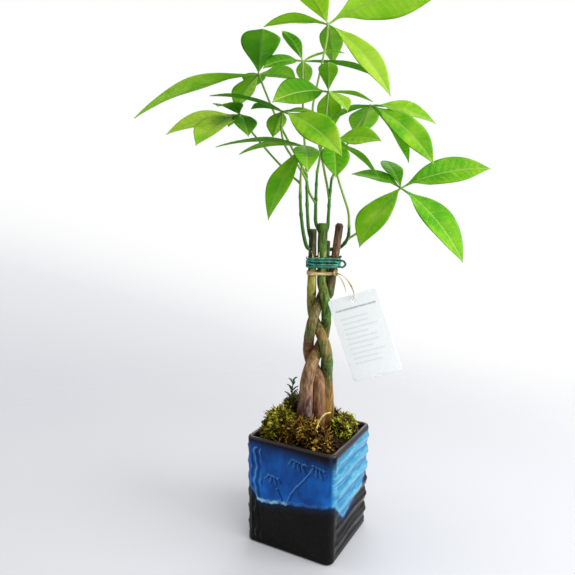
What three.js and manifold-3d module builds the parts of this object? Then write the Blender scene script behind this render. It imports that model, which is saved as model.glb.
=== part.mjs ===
// A potted money tree: three braided stems with tied tops, five green shoots and ten palmate leaves,
// standing in moss and soil in a square glazed pot, with a card tag on a raffia tie.
// Millimetres, +Z up. The origin is the centre of the pot's flat base, and the carved wall faces -Y.
// The plant has a group of its own, turned about Z: there X runs across its braid and -Y to its front.
import * as THREE from "three";
import { mergeVertices } from "three/addons/utils/BufferGeometryUtils.js";
import Module from "manifold-3d";

// Pot
const POT_SIDE = 100; // across the rim
const POT_BASE_SIDE = 97.6;
const POT_HEIGHT = 115;
const POT_CORNER = 8;
const POT_WALL = 5.5;
const POT_FLOOR = 8;
const RIM_BAND = 8; // the plain band below the rim
const RIPPLE_PITCH = 19;
const RIPPLE_DEPTH = 1.1;
const RIB_PITCH = 6.4;
const RIB_DEPTH = 1.3;
const RIBS_END = -24; // the upright ribs fill the carved wall left of this

// Soil and moss
const SOIL_EDGE = 103;
const SOIL_CROWN = 117;
const SEAT_GAP = 0.35; // between pieces that rest on or in each other

// Stems
const PLANT_TURN = 28; // degrees about Z
const BRAID_CENTRE = 6;
const BRAID_PITCH = 150;
const BRAID_PHASE_HEIGHT = 238; // here the green stem is at its furthest right
const BRAID_BEGINS = [165, 181]; // below the first height the stems run straight down and apart
const BRAID_SETTLES = [262, 278]; // above the last height they run straight up
const STEM_FOOT = 62;

const TAG = { width: 50.8, height: 88.9, thickness: 0.7, corner: 3, hole: 1.9, holeInset: 5.5 };
const TAG_TURN = { pitch: 6, roll: -19, yaw: -12 };

const BLADE = 0.8; // thickness of a leaflet
const STATIONS = 6; // lengths of a leaflet from its base to its tip

const COLOURS = {
  glaze: "#1b3f86",
  soil: "#2b2018",
  mossGreen: "#8d9c2e",
  mossBright: "#8fc23a",
  mossBrown: "#5d4526",
  mossGold: "#9a7a35",
  sprig: "#42552f",
  bark: "#7a5a3c",
  greenBark: "#4f7a2a",
  oliveBark: "#7d6a2c",
  shoot: "#3f8a26",
  leaf: "#4aa81f",
  youngLeaf: "#7cc63a",
  wire: "#0f8a7e",
  raffia: "#c9b478",
  card: "#f2f4f4",
};

const wasm = await Module();
wasm.setup();

const { sin, cos, PI, hypot } = Math;
const radians = THREE.MathUtils.degToRad;
const smooth = THREE.MathUtils.smoothstep;

// ---------- joining and cutting ----------

function solidOf(geometry) {
  const bare = geometry.clone();
  bare.deleteAttribute("normal");
  bare.deleteAttribute("uv");
  const merged = mergeVertices(bare, 1e-4);
  return new wasm.Manifold(
    new wasm.Mesh({
      numProp: 3,
      vertProperties: new Float32Array(merged.attributes.position.array),
      triVerts: new Uint32Array(merged.index.array),
    }),
  );
}

function geometryOf(solid) {
  const mesh = solid.getMesh();
  const geometry = new THREE.BufferGeometry();
  geometry.setAttribute("position", new THREE.BufferAttribute(mesh.vertProperties, 3));
  geometry.setIndex(new THREE.BufferAttribute(mesh.triVerts, 1));
  geometry.computeVertexNormals();
  return geometry;
}

function joined(geometries) {
  return geometries.map(solidOf).reduce((whole, next) => whole.add(next));
}

// The largest body of a solid, so that a scrap left by a cut is dropped.
function largestBody(solid) {
  return solid.decompose().reduce((a, b) => (a.volume() > b.volume() ? a : b));
}

// ---------- closed surfaces ----------

// A closed skin through rings of equal point counts, with a fan over each end.
function loft(rings) {
  const size = rings[0].length;
  const points = rings.flat();
  const faces = [];
  for (let row = 0; row + 1 < rings.length; row++) {
    for (let i = 0; i < size; i++) {
      const a = row * size + i;
      const b = row * size + ((i + 1) % size);
      faces.push(a, b, b + size, a, b + size, a + size);
    }
  }
  const middle = (ring) => ring.reduce((sum, p) => sum.add(p), new THREE.Vector3()).divideScalar(size);
  const first = points.push(middle(rings[0])) - 1;
  const last = points.push(middle(rings.at(-1))) - 1;
  const top = (rings.length - 1) * size;
  for (let i = 0; i < size; i++) {
    const j = (i + 1) % size;
    faces.push(first, j, i, last, top + i, top + j);
  }
  return new THREE.BufferGeometry().setFromPoints(points).setIndex(faces);
}

// A round stem along a smooth curve through the points; radiusAt takes 0 at the start and 1 at the end.
function stem(points, radiusAt, sides, steps) {
  const curve = new THREE.CatmullRomCurve3(points, false, "centripetal");
  const frames = curve.computeFrenetFrames(steps);
  const rings = [];
  for (let i = 0; i <= steps; i++) {
    const centre = curve.getPointAt(i / steps);
    const radius = radiusAt(i / steps);
    rings.push(
      Array.from({ length: sides }, (_, k) => {
        const turn = (2 * PI * k) / sides;
        return centre
          .clone()
          .addScaledVector(frames.normals[i], radius * cos(turn))
          .addScaledVector(frames.binormals[i], radius * sin(turn));
      }),
    );
  }
  return loft(rings);
}

const taper = (start, end) => (t) => start + (end - start) * t;

// Plant coordinates are written as [across, toward the front, up].
const plantPoint = ([across, toward, up]) => new THREE.Vector3(across, -toward, up);

// ---------- pot ----------

// Points round a square with round corners, counted from the -Y side, each with its outward direction.
// The columns of the -Y side are given, so that its carving can have narrow ones.
function squareRound(half, corner, carvedColumns, plainColumns, cornerSteps) {
  const outline = [];
  for (let side = 0; side < 4; side++) {
    const turn = (side * PI) / 2;
    const place = (x, y, nx, ny) => ({
      at: new THREE.Vector2(x, y).rotateAround(new THREE.Vector2(), turn),
      out: new THREE.Vector2(nx, ny).rotateAround(new THREE.Vector2(), turn),
      side,
      along: x,
    });
    const flat = half - corner;
    for (const share of side === 0 ? carvedColumns : plainColumns) {
      outline.push(place(share * flat, -half, 0, -1));
    }
    for (let i = 1; i < cornerSteps; i++) {
      const angle = ((i / cornerSteps) * PI) / 2;
      const out = [sin(angle), -cos(angle)];
      outline.push(place(flat + corner * out[0], -flat + corner * out[1], ...out));
    }
  }
  return outline;
}

// How far the glazed wall stands out: wavy level ripples on three walls, upright ribs on the carved one.
function wallRelief(side, along, height) {
  const bandFoot = POT_HEIGHT - RIM_BAND;
  const field = smooth(height, 5, 12) * (1 - smooth(height, bandFoot - 3, bandFoot));
  const inFromCorner = 1 - smooth(Math.abs(along), POT_SIDE / 2 - 9, POT_SIDE / 2 - 1);
  if (side === 0) {
    const ribbed = 1 - smooth(along, RIBS_END - 3, RIBS_END + 1);
    const sway = 1.4 * sin((2 * PI * height) / 31);
    const rib = 0.5 + 0.5 * cos((2 * PI * (along + sway)) / RIB_PITCH);
    return field * inFromCorner * ribbed * RIB_DEPTH * rib;
  }
  const drift = 2.2 * sin((2 * PI * along) / 70 + side);
  const ripple = sin((2 * PI * (height + drift)) / RIPPLE_PITCH + side);
  return field * (0.35 + 0.65 * inFromCorner) * RIPPLE_DEPTH * ripple;
}

function ring(outline, scale, height, relief) {
  return outline.map(({ at, out, side, along }) => {
    const stand = relief(side, along, height);
    return new THREE.Vector3(at.x * scale + out.x * stand, at.y * scale + out.y * stand, height);
  });
}

const even = (count) => Array.from({ length: count }, (_, i) => -1 + (2 * i) / (count - 1));

// One leaf or stalk of the raised bamboo: a pointed oval slab, half sunk in the wall.
function ornament(x, height, length, width, degrees) {
  const shape = new THREE.Shape();
  shape.moveTo(-length / 2, 0);
  shape.quadraticCurveTo(0, width, length / 2, 0);
  shape.quadraticCurveTo(0, -width, -length / 2, 0);
  const slab = new THREE.ExtrudeGeometry(shape, { depth: 3, bevelEnabled: false, curveSegments: 2 });
  const lean = (POT_SIDE - POT_BASE_SIDE) / 2 / POT_HEIGHT;
  slab.rotateZ(radians(degrees));
  slab.rotateX(PI / 2);
  slab.translate(x, -POT_SIDE / 2 + lean * (POT_HEIGHT - height) + 1.6, height);
  return slab;
}

function bambooRelief() {
  const stalk = [
    [1, 57, 17, 3.6, 52],
    [11, 70, 17, 3.4, 52],
    [21, 83, 17, 3.2, 52],
  ];
  const leaves = [
    [6, 92, 13, 4.6, 20],
    [11, 97, 13, 4.6, 50],
    [17, 99, 13, 4.6, 85],
    [9, 86, 12, 4.4, -10],
    [31, 90, 15, 4.8, 10],
    [33, 84, 15, 4.8, -20],
    [40, 92, 12, 4.4, 35],
    [30, 78, 13, 4.4, -50],
    [-8, 63, 13, 4.6, -30],
    [-15, 68, 14, 4.6, -5],
    [-12, 75, 13, 4.4, 30],
    [-21, 62, 13, 4.4, 20],
  ];
  return [...stalk, ...leaves].map((piece) => ornament(...piece));
}

function potGeometry() {
  const ribColumns = Array.from({ length: 13 }, (_, i) => -1 + i * 0.037);
  const carved = [...ribColumns, -0.3, 0.3, 1];
  const outline = squareRound(POT_SIDE / 2, POT_CORNER, carved, even(6), 4);
  const rows = 21;
  const rings = [];
  for (let row = 0; row <= rows; row++) {
    const height = (POT_HEIGHT * row) / rows;
    const scale = (POT_BASE_SIDE + ((POT_SIDE - POT_BASE_SIDE) * row) / rows) / POT_SIDE;
    rings.push(ring(outline, scale, height, wallRelief));
  }
  const inner = cavityOutline(0);
  const flat = () => 0;
  const cavity = loft([ring(inner, 1, POT_FLOOR, flat), ring(inner, 1, POT_HEIGHT + 5, flat)]);
  const carving = joined(bambooRelief());
  return geometryOf(solidOf(loft(rings)).add(carving).subtract(solidOf(cavity)));
}

function cavityOutline(clearance) {
  const half = POT_SIDE / 2 - POT_WALL - clearance;
  return squareRound(half, POT_CORNER - POT_WALL / 2, even(4), even(4), 3);
}

// ---------- soil and moss ----------

const groundHeight = (x, y) => {
  const away = Math.min(1, hypot(x, y) / 58);
  return SOIL_EDGE + (SOIL_CROWN - SOIL_EDGE) * (1 - away * away);
};

function soilGeometry(holes) {
  const outline = cavityOutline(SEAT_GAP);
  const flat = () => 0;
  const rings = [ring(outline, 1, POT_FLOOR + SEAT_GAP, flat)];
  const rounds = 6;
  for (let i = 0; i < rounds; i++) {
    const shrunk = ring(outline, 1 - i / rounds, 0, flat);
    rings.push(shrunk.map((p) => new THREE.Vector3(p.x, p.y, groundHeight(p.x, p.y))));
  }
  const whole = solidOf(loft(rings));
  return geometryOf(largestBody(holes.reduce((soil, hole) => soil.subtract(hole), whole)));
}

// A cushion of moss: a lumpy cap whose underside follows the ground.
function mossGeometry([x, y], [radiusX, radiusY], height, seed) {
  const spokes = 14;
  const rounds = 4;
  const cap = [];
  const seat = [];
  for (let r = rounds; r >= 1; r--) {
    const share = r / rounds;
    const row = Array.from({ length: spokes }, (_, k) => {
      const turn = (2 * PI * k) / spokes;
      const edge = 1 + 0.13 * sin(3 * turn + seed) + 0.07 * sin(5 * turn + 2.3 * seed);
      const out = share * edge;
      return new THREE.Vector2(x + radiusX * out * cos(turn), y + radiusY * out * sin(turn));
    });
    const lump = (p) => 0.8 + 0.2 * sin(p.x / 2.7 + seed) * cos(p.y / 2.3 - seed);
    const rise = (p) => 1 + height * Math.sqrt(1 - share ** 2.4) * lump(p);
    const ground = (p) => groundHeight(p.x, p.y) + SEAT_GAP;
    cap.push(row.map((p) => new THREE.Vector3(p.x, p.y, ground(p) + rise(p))));
    seat.push(row.map((p) => new THREE.Vector3(p.x, p.y, ground(p))));
  }
  return loft([...seat.reverse(), ...cap]);
}

const MOSS = [
  {
    name: "moss_left_front",
    at: [-29, -20],
    radii: [12.5, 18],
    height: 22,
    seed: 1,
    colour: COLOURS.mossGreen,
  },
  {
    name: "moss_left_back",
    at: [-29, 22.5],
    radii: [12.5, 16],
    height: 26,
    seed: 2.1,
    colour: COLOURS.mossGreen,
  },
  {
    name: "moss_middle",
    at: [-8.5, 13],
    radii: [5.5, 12],
    height: 16,
    seed: 2.8,
    colour: COLOURS.mossBrown,
  },
  {
    name: "moss_back",
    at: [5, 36],
    radii: [15, 6.5],
    height: 14,
    seed: 3.4,
    colour: COLOURS.mossBrown,
  },
  {
    name: "moss_front",
    at: [12, -31.5],
    radii: [24, 9.5],
    height: 18,
    seed: 4.2,
    colour: COLOURS.mossGold,
  },
  {
    name: "moss_right",
    at: [33, 19],
    radii: [8, 15],
    height: 15,
    seed: 5.5,
    colour: COLOURS.mossBright,
  },
];

// ---------- braided stems ----------

// The height that sets a stem's place in the braid: it eases to a stop below the braid and above it.
function braidHeight(height) {
  const [foot, first] = BRAID_BEGINS;
  const [last, head] = BRAID_SETTLES;
  if (height < first) return (foot + first) / 2 + Math.max(height - foot, 0) ** 2 / (2 * (first - foot));
  if (height <= last) return height;
  const past = Math.min(height, head) - last;
  return last + past - past ** 2 / (2 * (head - last));
}

function braidWidth(height) {
  const below = (270 - Math.min(height, 270)) / 140;
  return 8.3 + 6.4 * below ** 1.5;
}

// A stem keeps to the edges of the braid and crosses over it quickly.
function stemPlace(phase, height) {
  const turn = (2 * PI * (braidHeight(height) - BRAID_PHASE_HEIGHT)) / BRAID_PITCH + phase;
  const width = braidWidth(height);
  return [BRAID_CENTRE + width * (sin(turn) + 0.08 * sin(3 * turn)), -0.85 * width * sin(2 * turn), height];
}

function stemRadius(height, topRadius) {
  const swollen = 0.56 * braidWidth(Math.max(height, 134));
  const inSoil = THREE.MathUtils.mapLinear(THREE.MathUtils.clamp(height, 104, 134), 104, 134, 0.66, 1);
  return THREE.MathUtils.lerp(swollen * inSoil, topRadius, smooth(height, 270, 300));
}

const STEMS = [
  { name: "stem_green", phase: PI / 2, top: 334, topRadius: 4.8, colour: COLOURS.greenBark },
  { name: "stem_left", phase: PI / 2 + (2 * PI) / 3, top: 328, topRadius: 3.8, colour: COLOURS.bark },
  { name: "stem_back", phase: PI / 2 - (2 * PI) / 3, top: 316, topRadius: 4.2, colour: COLOURS.oliveBark },
];

function braidedStem({ phase, top, topRadius }, extra) {
  const foot = STEM_FOOT - extra;
  const knots = 60;
  const points = [];
  for (let i = 0; i <= knots; i++) {
    points.push(plantPoint(stemPlace(phase, foot + ((top - foot) * i) / knots)));
  }
  return stem(points, (t) => stemRadius(foot + (top - foot) * t, topRadius) + extra, 8, 36);
}

// The stems press into each other where they cross: each is hollowed by the ones before it in the list.
function pressedStems() {
  const earlier = [];
  return STEMS.map((one) => {
    const free = solidOf(braidedStem(one, 0));
    const pressed = earlier.reduce((solid, other) => solid.subtract(other), free);
    earlier.push(solidOf(braidedStem(one, SEAT_GAP)));
    return geometryOf(largestBody(pressed));
  });
}

const CANE = { foot: [17, 0, 257], head: [25, 6, 334], radius: 4 };

function caneGeometry() {
  const foot = plantPoint(CANE.foot);
  const head = plantPoint(CANE.head);
  const ends = (t) => CANE.radius * (0.55 + 0.45 * smooth(t, 0, 0.05)) * (1 - 0.12 * smooth(t, 0.97, 1));
  return stem([foot, foot.clone().lerp(head, 0.5), head], ends, 8, 16);
}

// ---------- ties ----------

// What the ties go round at a height: the three stems and the cane.
function bundle(height) {
  const t = (height - CANE.foot[2]) / (CANE.head[2] - CANE.foot[2]);
  const caneAt = CANE.foot.map((v, i) => v + (CANE.head[i] - v) * t);
  return [
    ...STEMS.map((s) => ({ at: stemPlace(s.phase, height), radius: stemRadius(height, s.topRadius) })),
    { at: caneAt, radius: CANE.radius },
  ];
}

// Turns of a wire pulled taut round the bundle, climbing from one height to another.
function windings(from, to, turns, wire, startAngle) {
  const perTurn = 16;
  const points = [];
  for (let i = 0; i <= turns * perTurn; i++) {
    const height = from + ((to - from) * i) / (turns * perTurn);
    const angle = startAngle + (2 * PI * i) / perTurn;
    const reach = (c) => c.at[0] * cos(angle) + c.at[1] * sin(angle) + c.radius;
    const outer = bundle(height).reduce((a, b) => (reach(a) > reach(b) ? a : b));
    const off = outer.radius + wire + 1.5 * SEAT_GAP;
    points.push(plantPoint([outer.at[0] + off * cos(angle), outer.at[1] + off * sin(angle), height]));
  }
  return stem(points, () => wire, 5, turns * 15);
}

function wireTie() {
  const loop = [
    [24.8, 7, 295.5],
    [29.2, 8.5, 296.5],
    [31.7, 8.5, 293],
    [28.7, 8.5, 290],
    [24.7, 7.5, 292],
  ];
  return joined([
    windings(289.5, 300, 4, 1.2, 0.3),
    stem(loop.map(plantPoint), () => 1.1, 5, 12),
  ]);
}

const TAG_HOLE = [39.3, 19, 258.7];

function raffiaTie() {
  const knotAt = [22.1, 8.6, 284];
  const knot = plantPoint(knotAt);
  const toTag = [knotAt, [28.5, 10.5, 282], [35, 14.5, 276], [39.5, 23, 265.5], TAG_HOLE, [38.5, 15.5, 257]];
  const loose = [knotAt, [27, 9.5, 279], [31, 9.5, 272], [33, 8.5, 265]];
  return joined([
    windings(282, 285.5, 2, 0.9, 0.6),
    new THREE.IcosahedronGeometry(2.3, 0).translate(knot.x, knot.y, knot.z),
    stem(toTag.map(plantPoint), taper(1, 0.8), 5, 14),
    stem(loose.map(plantPoint), taper(1, 0.6), 5, 7),
  ]);
}

// The card hangs from its hole, which is at the origin of its own geometry.
function tagGeometry() {
  const { width, height, corner, hole, holeInset, thickness } = TAG;
  const top = holeInset;
  const bottom = holeInset - height;
  const card = new THREE.Shape();
  card.absarc(width / 2 - corner, top - corner, corner, 0, PI / 2);
  card.absarc(-width / 2 + corner, top - corner, corner, PI / 2, PI);
  card.absarc(-width / 2 + corner, bottom + corner, corner, PI, 1.5 * PI);
  card.absarc(width / 2 - corner, bottom + corner, corner, 1.5 * PI, 2 * PI);
  card.holes.push(new THREE.Path().absarc(0, 0, hole, 0, 2 * PI, true));
  const slab = new THREE.ExtrudeGeometry(card, { depth: thickness, bevelEnabled: false, curveSegments: 5 });
  return slab.translate(0, 0, -thickness / 2).rotateX(PI / 2);
}

// ---------- shoots and leaves ----------

const SHOOTS = [
  {
    name: "shoot_1",
    grownFrom: "stem_left",
    route: [[-3, 5, 307], [-7, 6.5, 309.5], [-10.5, 6, 320], [-14, 5, 344], [-15, 4, 362], [-15, 3, 374]],
    radii: [2, 1.3],
  },
  {
    name: "shoot_2",
    grownFrom: "stem_left",
    route: [[-2.5, 3, 316], [-5.5, 2.5, 325], [-7.5, 4, 345], [-8.5, 5, 366], [-9, 5, 382]],
    radii: [1.9, 1.3],
  },
  {
    name: "shoot_3",
    grownFrom: "stem_green",
    route: [[5.5, 0, 325], [1.5, -3.5, 334], [1, -4, 345], [1, -4, 360], [1.5, -3, 385]],
    radii: [2, 1.2],
  },
  {
    name: "shoot_4",
    grownFrom: "stem_green",
    route: [[9.5, 3, 320], [13, 2, 329], [13.8, 2, 341], [14.5, 2, 358], [16, 2, 378]],
    radii: [1.9, 1.3],
  },
  {
    name: "shoot_5",
    grownFrom: "stem_back",
    route: [
      [13, -9, 306.5],
      [20, -9.5, 307],
      [27, -8, 309],
      [32, -6, 314],
      [35, -4, 321],
      [35.5, -3, 331],
    ],
    radii: [2.1, 1.4],
  },
];

// Each leaf has its petiole's route, hub last, and its leaflets as
// [bearing from across toward the front, mean rise, length, width, how far its upper face turns to the front],
// in degrees and millimetres.
const LEAVES = [
  {
    name: "leaf_top",
    grownFrom: "shoot_4",
    colour: COLOURS.youngLeaf,
    petiole: [
      [14.5, 2, 358],
      [11, 0, 375],
      [6.5, -4, 397],
      [1, -6, 421],
      [-4, -5, 445],
      [-1, 2, 464],
      [4, 13, 488],
      [8, 8, 510],
      [9, 0, 525],
    ],
    leaflets: [
      [121, 11, 84, 38, 0],
      [8, 13, 128, 50, -52],
      [197, 0, 67, 26, -4],
      [-83, -9, 104, 26, 0],
      [34, -50, 102, 25, 40],
    ],
  },
  {
    name: "leaf_upper_left",
    grownFrom: "shoot_2",
    colour: COLOURS.leaf,
    petiole: [[-9, 5, 381], [-26, 2, 411], [-41, 0, 439], [-50, 0, 459], [-58, 0, 478]],
    leaflets: [
      [84, 5, 95, 36, 0],
      [170, -24, 129, 36, -8],
      [231, -37, 50, 26, 0],
      [-47, 2, 55, 24, -20],
      [-100, -2, 80, 26, 0],
    ],
  },
  {
    name: "leaf_middle",
    grownFrom: "shoot_3",
    colour: COLOURS.leaf,
    petiole: [[1, -4, 354], [-6, -3, 365], [-11, 2, 406], [-14, 6, 449], [-15, 10, 488]],
    leaflets: [
      [110, 9, 56, 15, 0],
      [140, -20, 50, 18, 45],
      [-41, 15, 60, 12, 0],
      [-86, -15, 58, 17, 0],
      [-23, -9, 100, 24, 10],
    ],
  },
  {
    name: "leaf_centre",
    grownFrom: "shoot_3",
    colour: COLOURS.youngLeaf,
    petiole: [[1.5, -3, 384], [5, 4, 406], [8, 9, 432], [10, 15, 459]],
    leaflets: [
      [94, 3, 75, 18, 0],
      [143, -18, 68, 30, 58],
      [-84, -33, 60, 26, 0],
      [-6, -13, 45, 13, 0],
      [66, -35, 46, 20, 0],
    ],
  },
  {
    name: "leaf_front",
    grownFrom: "shoot_2",
    colour: COLOURS.leaf,
    petiole: [[-8.8, 5.5, 376], [-18, 13, 390], [-30.3, 22.4, 407], [-34, 31, 420], [-33, 40, 436]],
    leaflets: [
      [-4, -9, 38, 18, 20],
      [38, -36, 80, 32, 42],
      [163, 5, 68, 24, 10],
      [215, 6, 38, 20, 0],
      [-105, -28, 44, 20, 0],
    ],
  },
  {
    name: "leaf_left",
    grownFrom: "shoot_1",
    colour: COLOURS.leaf,
    petiole: [[-15, 3, 373], [-30, -6, 386], [-50, -12, 407], [-68, -8, 428], [-76, 0, 439]],
    leaflets: [
      [164, -20, 76, 23, 42],
      [122, -32, 75, 36, 10],
      [104, -5, 60, 28, 0],
      [75, -32, 55, 24, 0],
      [-110, -8, 50, 22, 0],
    ],
  },
  {
    name: "leaf_low_left",
    grownFrom: "shoot_1",
    colour: COLOURS.leaf,
    petiole: [[-15, 4, 364], [-15, 14, 378], [-12, 25, 407]],
    leaflets: [
      [130, -57, 87, 29, 0],
      [88, -26, 73, 24, 0],
      [162, -6, 86, 20, 0],
      [210, -6, 77, 20, 0],
      [255, -5, 16, 8, 0],
    ],
  },
  {
    name: "leaf_right",
    grownFrom: "shoot_4",
    colour: COLOURS.leaf,
    petiole: [[16, 2, 377], [24, 2, 397], [38, 1, 426], [53, 0, 450]],
    leaflets: [
      [10, -19, 66, 26, 40],
      [42, -43, 94, 31, 35],
      [-35, -45, 78, 30, 20],
      [-92, -20, 78, 32, 0],
      [200, -22, 45, 24, 0],
    ],
  },
  {
    name: "leaf_low_right",
    grownFrom: "shoot_5",
    colour: COLOURS.leaf,
    petiole: [[35.5, -3, 330], [34, 0, 345], [28, 4, 362], [22, 9, 378], [17, 15, 398], [15, 20, 413]],
    leaflets: [[87, -52, 49, 28, 0], [-10, -38, 58, 20, 0], [30, -6, 50, 24, 48], [-80, -11, 60, 20, 0]],
  },
  {
    name: "leaf_far_right",
    grownFrom: "shoot_5",
    colour: COLOURS.leaf,
    petiole: [[34.6, -4.5, 318], [46, -1, 326], [64, 4, 345], [84, 10, 370]],
    leaflets: [
      [0, 10, 90, 32, 58],
      [32, -50, 96, 37, 30],
      [144, -50, 79, 38, 10],
      [218, 12, 60, 24, 25],
      [-100, 26, 66, 22, 0],
    ],
  },
];

// A leaflet: a thin closed blade that arches over from base to tip and folds up a little from its midrib.
function leaflet(base, [bearing, rise, length, width, faced], stations = STATIONS) {
  const ahead = new THREE.Vector3(cos(radians(bearing)), -sin(radians(bearing)), 0);
  const level = new THREE.Vector3(-ahead.y, ahead.x, 0);
  const roll = radians(faced) * (ahead.x < 0 ? -1 : 1);
  const arch = radians(28);
  const fold = radians(13);
  const up = new THREE.Vector3(0, 0, 1);
  const centre = base.clone();
  const rings = [];
  for (let i = 0; i <= stations; i++) {
    const share = i / stations;
    const slope = radians(rise) + arch * (0.5 - share);
    const along = ahead.clone().multiplyScalar(cos(slope)).addScaledVector(up, sin(slope));
    const turn = roll * smooth(share, 0, 0.3);
    const side = level.clone().applyAxisAngle(along, turn);
    const normal = along.clone().cross(side);
    const half = Math.max(0.6, (width / 2) * sin(PI * share ** 1.15) ** 1.1);
    const wave = 0.5 * share * sin(7 * share + bearing);
    const [right, left] = [-1, 1].map((hand) =>
      centre
        .clone()
        .addScaledVector(side, hand * half * cos(fold))
        .addScaledVector(normal, half * sin(fold) + wave * hand),
    );
    const spread = (amount) => [right, centre, left].map((p) => p.clone().addScaledVector(normal, amount));
    rings.push([...spread(-BLADE / 2), ...spread(BLADE / 2).reverse()]);
    centre.addScaledVector(along, length / stations);
  }
  return rings;
}

// The skin of a blade: each quad of its underside is split along the same diagonal as the one above it.
function bladeSkin(rings) {
  const faces = [];
  const at = (row, k) => row * 6 + k;
  for (let row = 0; row + 1 < rings.length; row++) {
    const quads = [
      [at(row, 0), at(row, 1), at(row + 1, 1), at(row + 1, 0)],
      [at(row, 1), at(row, 2), at(row + 1, 2), at(row + 1, 1)],
      [at(row, 2), at(row, 3), at(row + 1, 3), at(row + 1, 2)],
      [at(row + 1, 3), at(row, 3), at(row, 4), at(row + 1, 4)],
      [at(row + 1, 4), at(row, 4), at(row, 5), at(row + 1, 5)],
      [at(row, 5), at(row, 0), at(row + 1, 0), at(row + 1, 5)],
    ];
    for (const [a, b, c, d] of quads) faces.push(a, b, c, a, c, d);
  }
  const end = (rings.length - 1) * 6;
  faces.push(0, 5, 4, 0, 4, 1, 1, 4, 3, 1, 3, 2);
  faces.push(end, end + 4, end + 5, end, end + 1, end + 4);
  faces.push(end + 1, end + 3, end + 4, end + 1, end + 2, end + 3);
  return new THREE.BufferGeometry().setFromPoints(rings.flat()).setIndex(faces);
}

function shootSkin({ route, radii }, extra) {
  return stem(route.map(plantPoint), (t) => taper(...radii)(t) + extra, 7, 12);
}

// A leaf, cut back to its clearance where its petiole leaves the shoot.
function leafGeometry({ petiole, leaflets, grownFrom }) {
  const hub = plantPoint(petiole.at(-1));
  const knob = new THREE.IcosahedronGeometry(1.9, 0).translate(hub.x, hub.y, hub.z);
  const whole = joined([
    stem(petiole.map(plantPoint), taper(1.25, 0.95), 5, 2 * petiole.length),
    knob,
    ...leaflets.map((blade) => bladeSkin(leaflet(hub, blade))),
  ]);
  const shoot = SHOOTS.find((s) => s.name === grownFrom);
  return geometryOf(largestBody(whole.subtract(solidOf(shootSkin(shoot, SEAT_GAP)))));
}

function shootGeometry(shoot) {
  const parent = STEMS.find((s) => s.name === shoot.grownFrom);
  const whole = solidOf(shootSkin(shoot, 0));
  return geometryOf(largestBody(whole.subtract(solidOf(braidedStem(parent, SEAT_GAP)))));
}

// A seedling in the moss, with small blades up its stalk.
const SPRIG_FOOT = [-20, -7, 108];

function sprigGeometry() {
  const [across, toward, foot] = SPRIG_FOOT;
  const stalk = [
    [across, toward, foot],
    [across - 0.5, toward, foot + 30],
    [across + 1, toward, foot + 60],
  ];
  const blades = [];
  for (let i = 0; i < 7; i++) {
    const base = plantPoint([across - 0.3 + i * 0.13, toward, foot + 33 + 4 * i]);
    blades.push(bladeSkin(leaflet(base, [i * 137.5, 34, 12 - 0.6 * i, 4.4, 0], 2)));
  }
  return joined([stem(stalk.map(plantPoint), taper(1.1, 0.6), 5, 5), ...blades]);
}

function sprigHole() {
  const [across, toward, foot] = SPRIG_FOOT;
  const route = [[across, toward, foot - SEAT_GAP], [across - 0.2, toward, foot + 22]];
  return stem(route.map(plantPoint), () => 1.5, 6, 2);
}

// ---------- assembly ----------

function mesh(name, geometry, colour, roughness) {
  geometry.computeVertexNormals();
  const material = new THREE.MeshStandardMaterial({ color: colour, roughness, metalness: 0 });
  const made = new THREE.Mesh(geometry, material);
  made.name = name;
  return made;
}

// The holes in the soil, turned as the plant's group is.
const holes = [...STEMS.map((s) => braidedStem(s, SEAT_GAP)), sprigHole()].map((skin) =>
  solidOf(skin.rotateZ(radians(PLANT_TURN))),
);

const tree = new THREE.Group();
tree.rotation.z = radians(PLANT_TURN);
pressedStems().forEach((geometry, i) => {
  tree.add(mesh(STEMS[i].name, geometry, STEMS[i].colour, 0.75));
});
tree.add(mesh("cut_cane", caneGeometry(), COLOURS.bark, 0.8));
tree.add(mesh("wire_tie", geometryOf(wireTie()), COLOURS.wire, 0.4));
tree.add(mesh("raffia_tie", geometryOf(raffiaTie()), COLOURS.raffia, 0.8));
for (const s of SHOOTS) tree.add(mesh(s.name, shootGeometry(s), COLOURS.shoot, 0.45));
for (const leaf of LEAVES) tree.add(mesh(leaf.name, leafGeometry(leaf), leaf.colour, 0.4));
tree.add(mesh("moss_sprig", geometryOf(sprigGeometry()), COLOURS.sprig, 0.7));

const tag = mesh("card_tag", tagGeometry(), COLOURS.card, 0.6);
tag.position.copy(plantPoint(TAG_HOLE));
tag.rotation.set(radians(TAG_TURN.pitch), radians(TAG_TURN.roll), radians(TAG_TURN.yaw), "ZXY");
tree.add(tag);

const pottedTree = new THREE.Group();
pottedTree.add(mesh("pot", potGeometry(), COLOURS.glaze, 0.12));
pottedTree.add(mesh("soil", soilGeometry(holes), COLOURS.soil, 0.95));
for (const { name, at, radii, height, seed, colour } of MOSS) {
  pottedTree.add(mesh(name, mossGeometry(at, radii, height, seed), colour, 0.95));
}
pottedTree.add(tree);

export default pottedTree;
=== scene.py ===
"""A potted money tree: braided stems, tied tops, green shoots and palmate leaves in a square glazed pot.

Metres, +Z up, from the centre of the pot's base. Sizes are in millimetres, and MM turns them to metres.
The sections follow the tree as it is potted: pot, soil, moss, stems, ties, card, shoots, leaves and sprigs.
"""
import math

import bpy
import numpy as np
from mathutils import Matrix, Vector, noise


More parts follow.
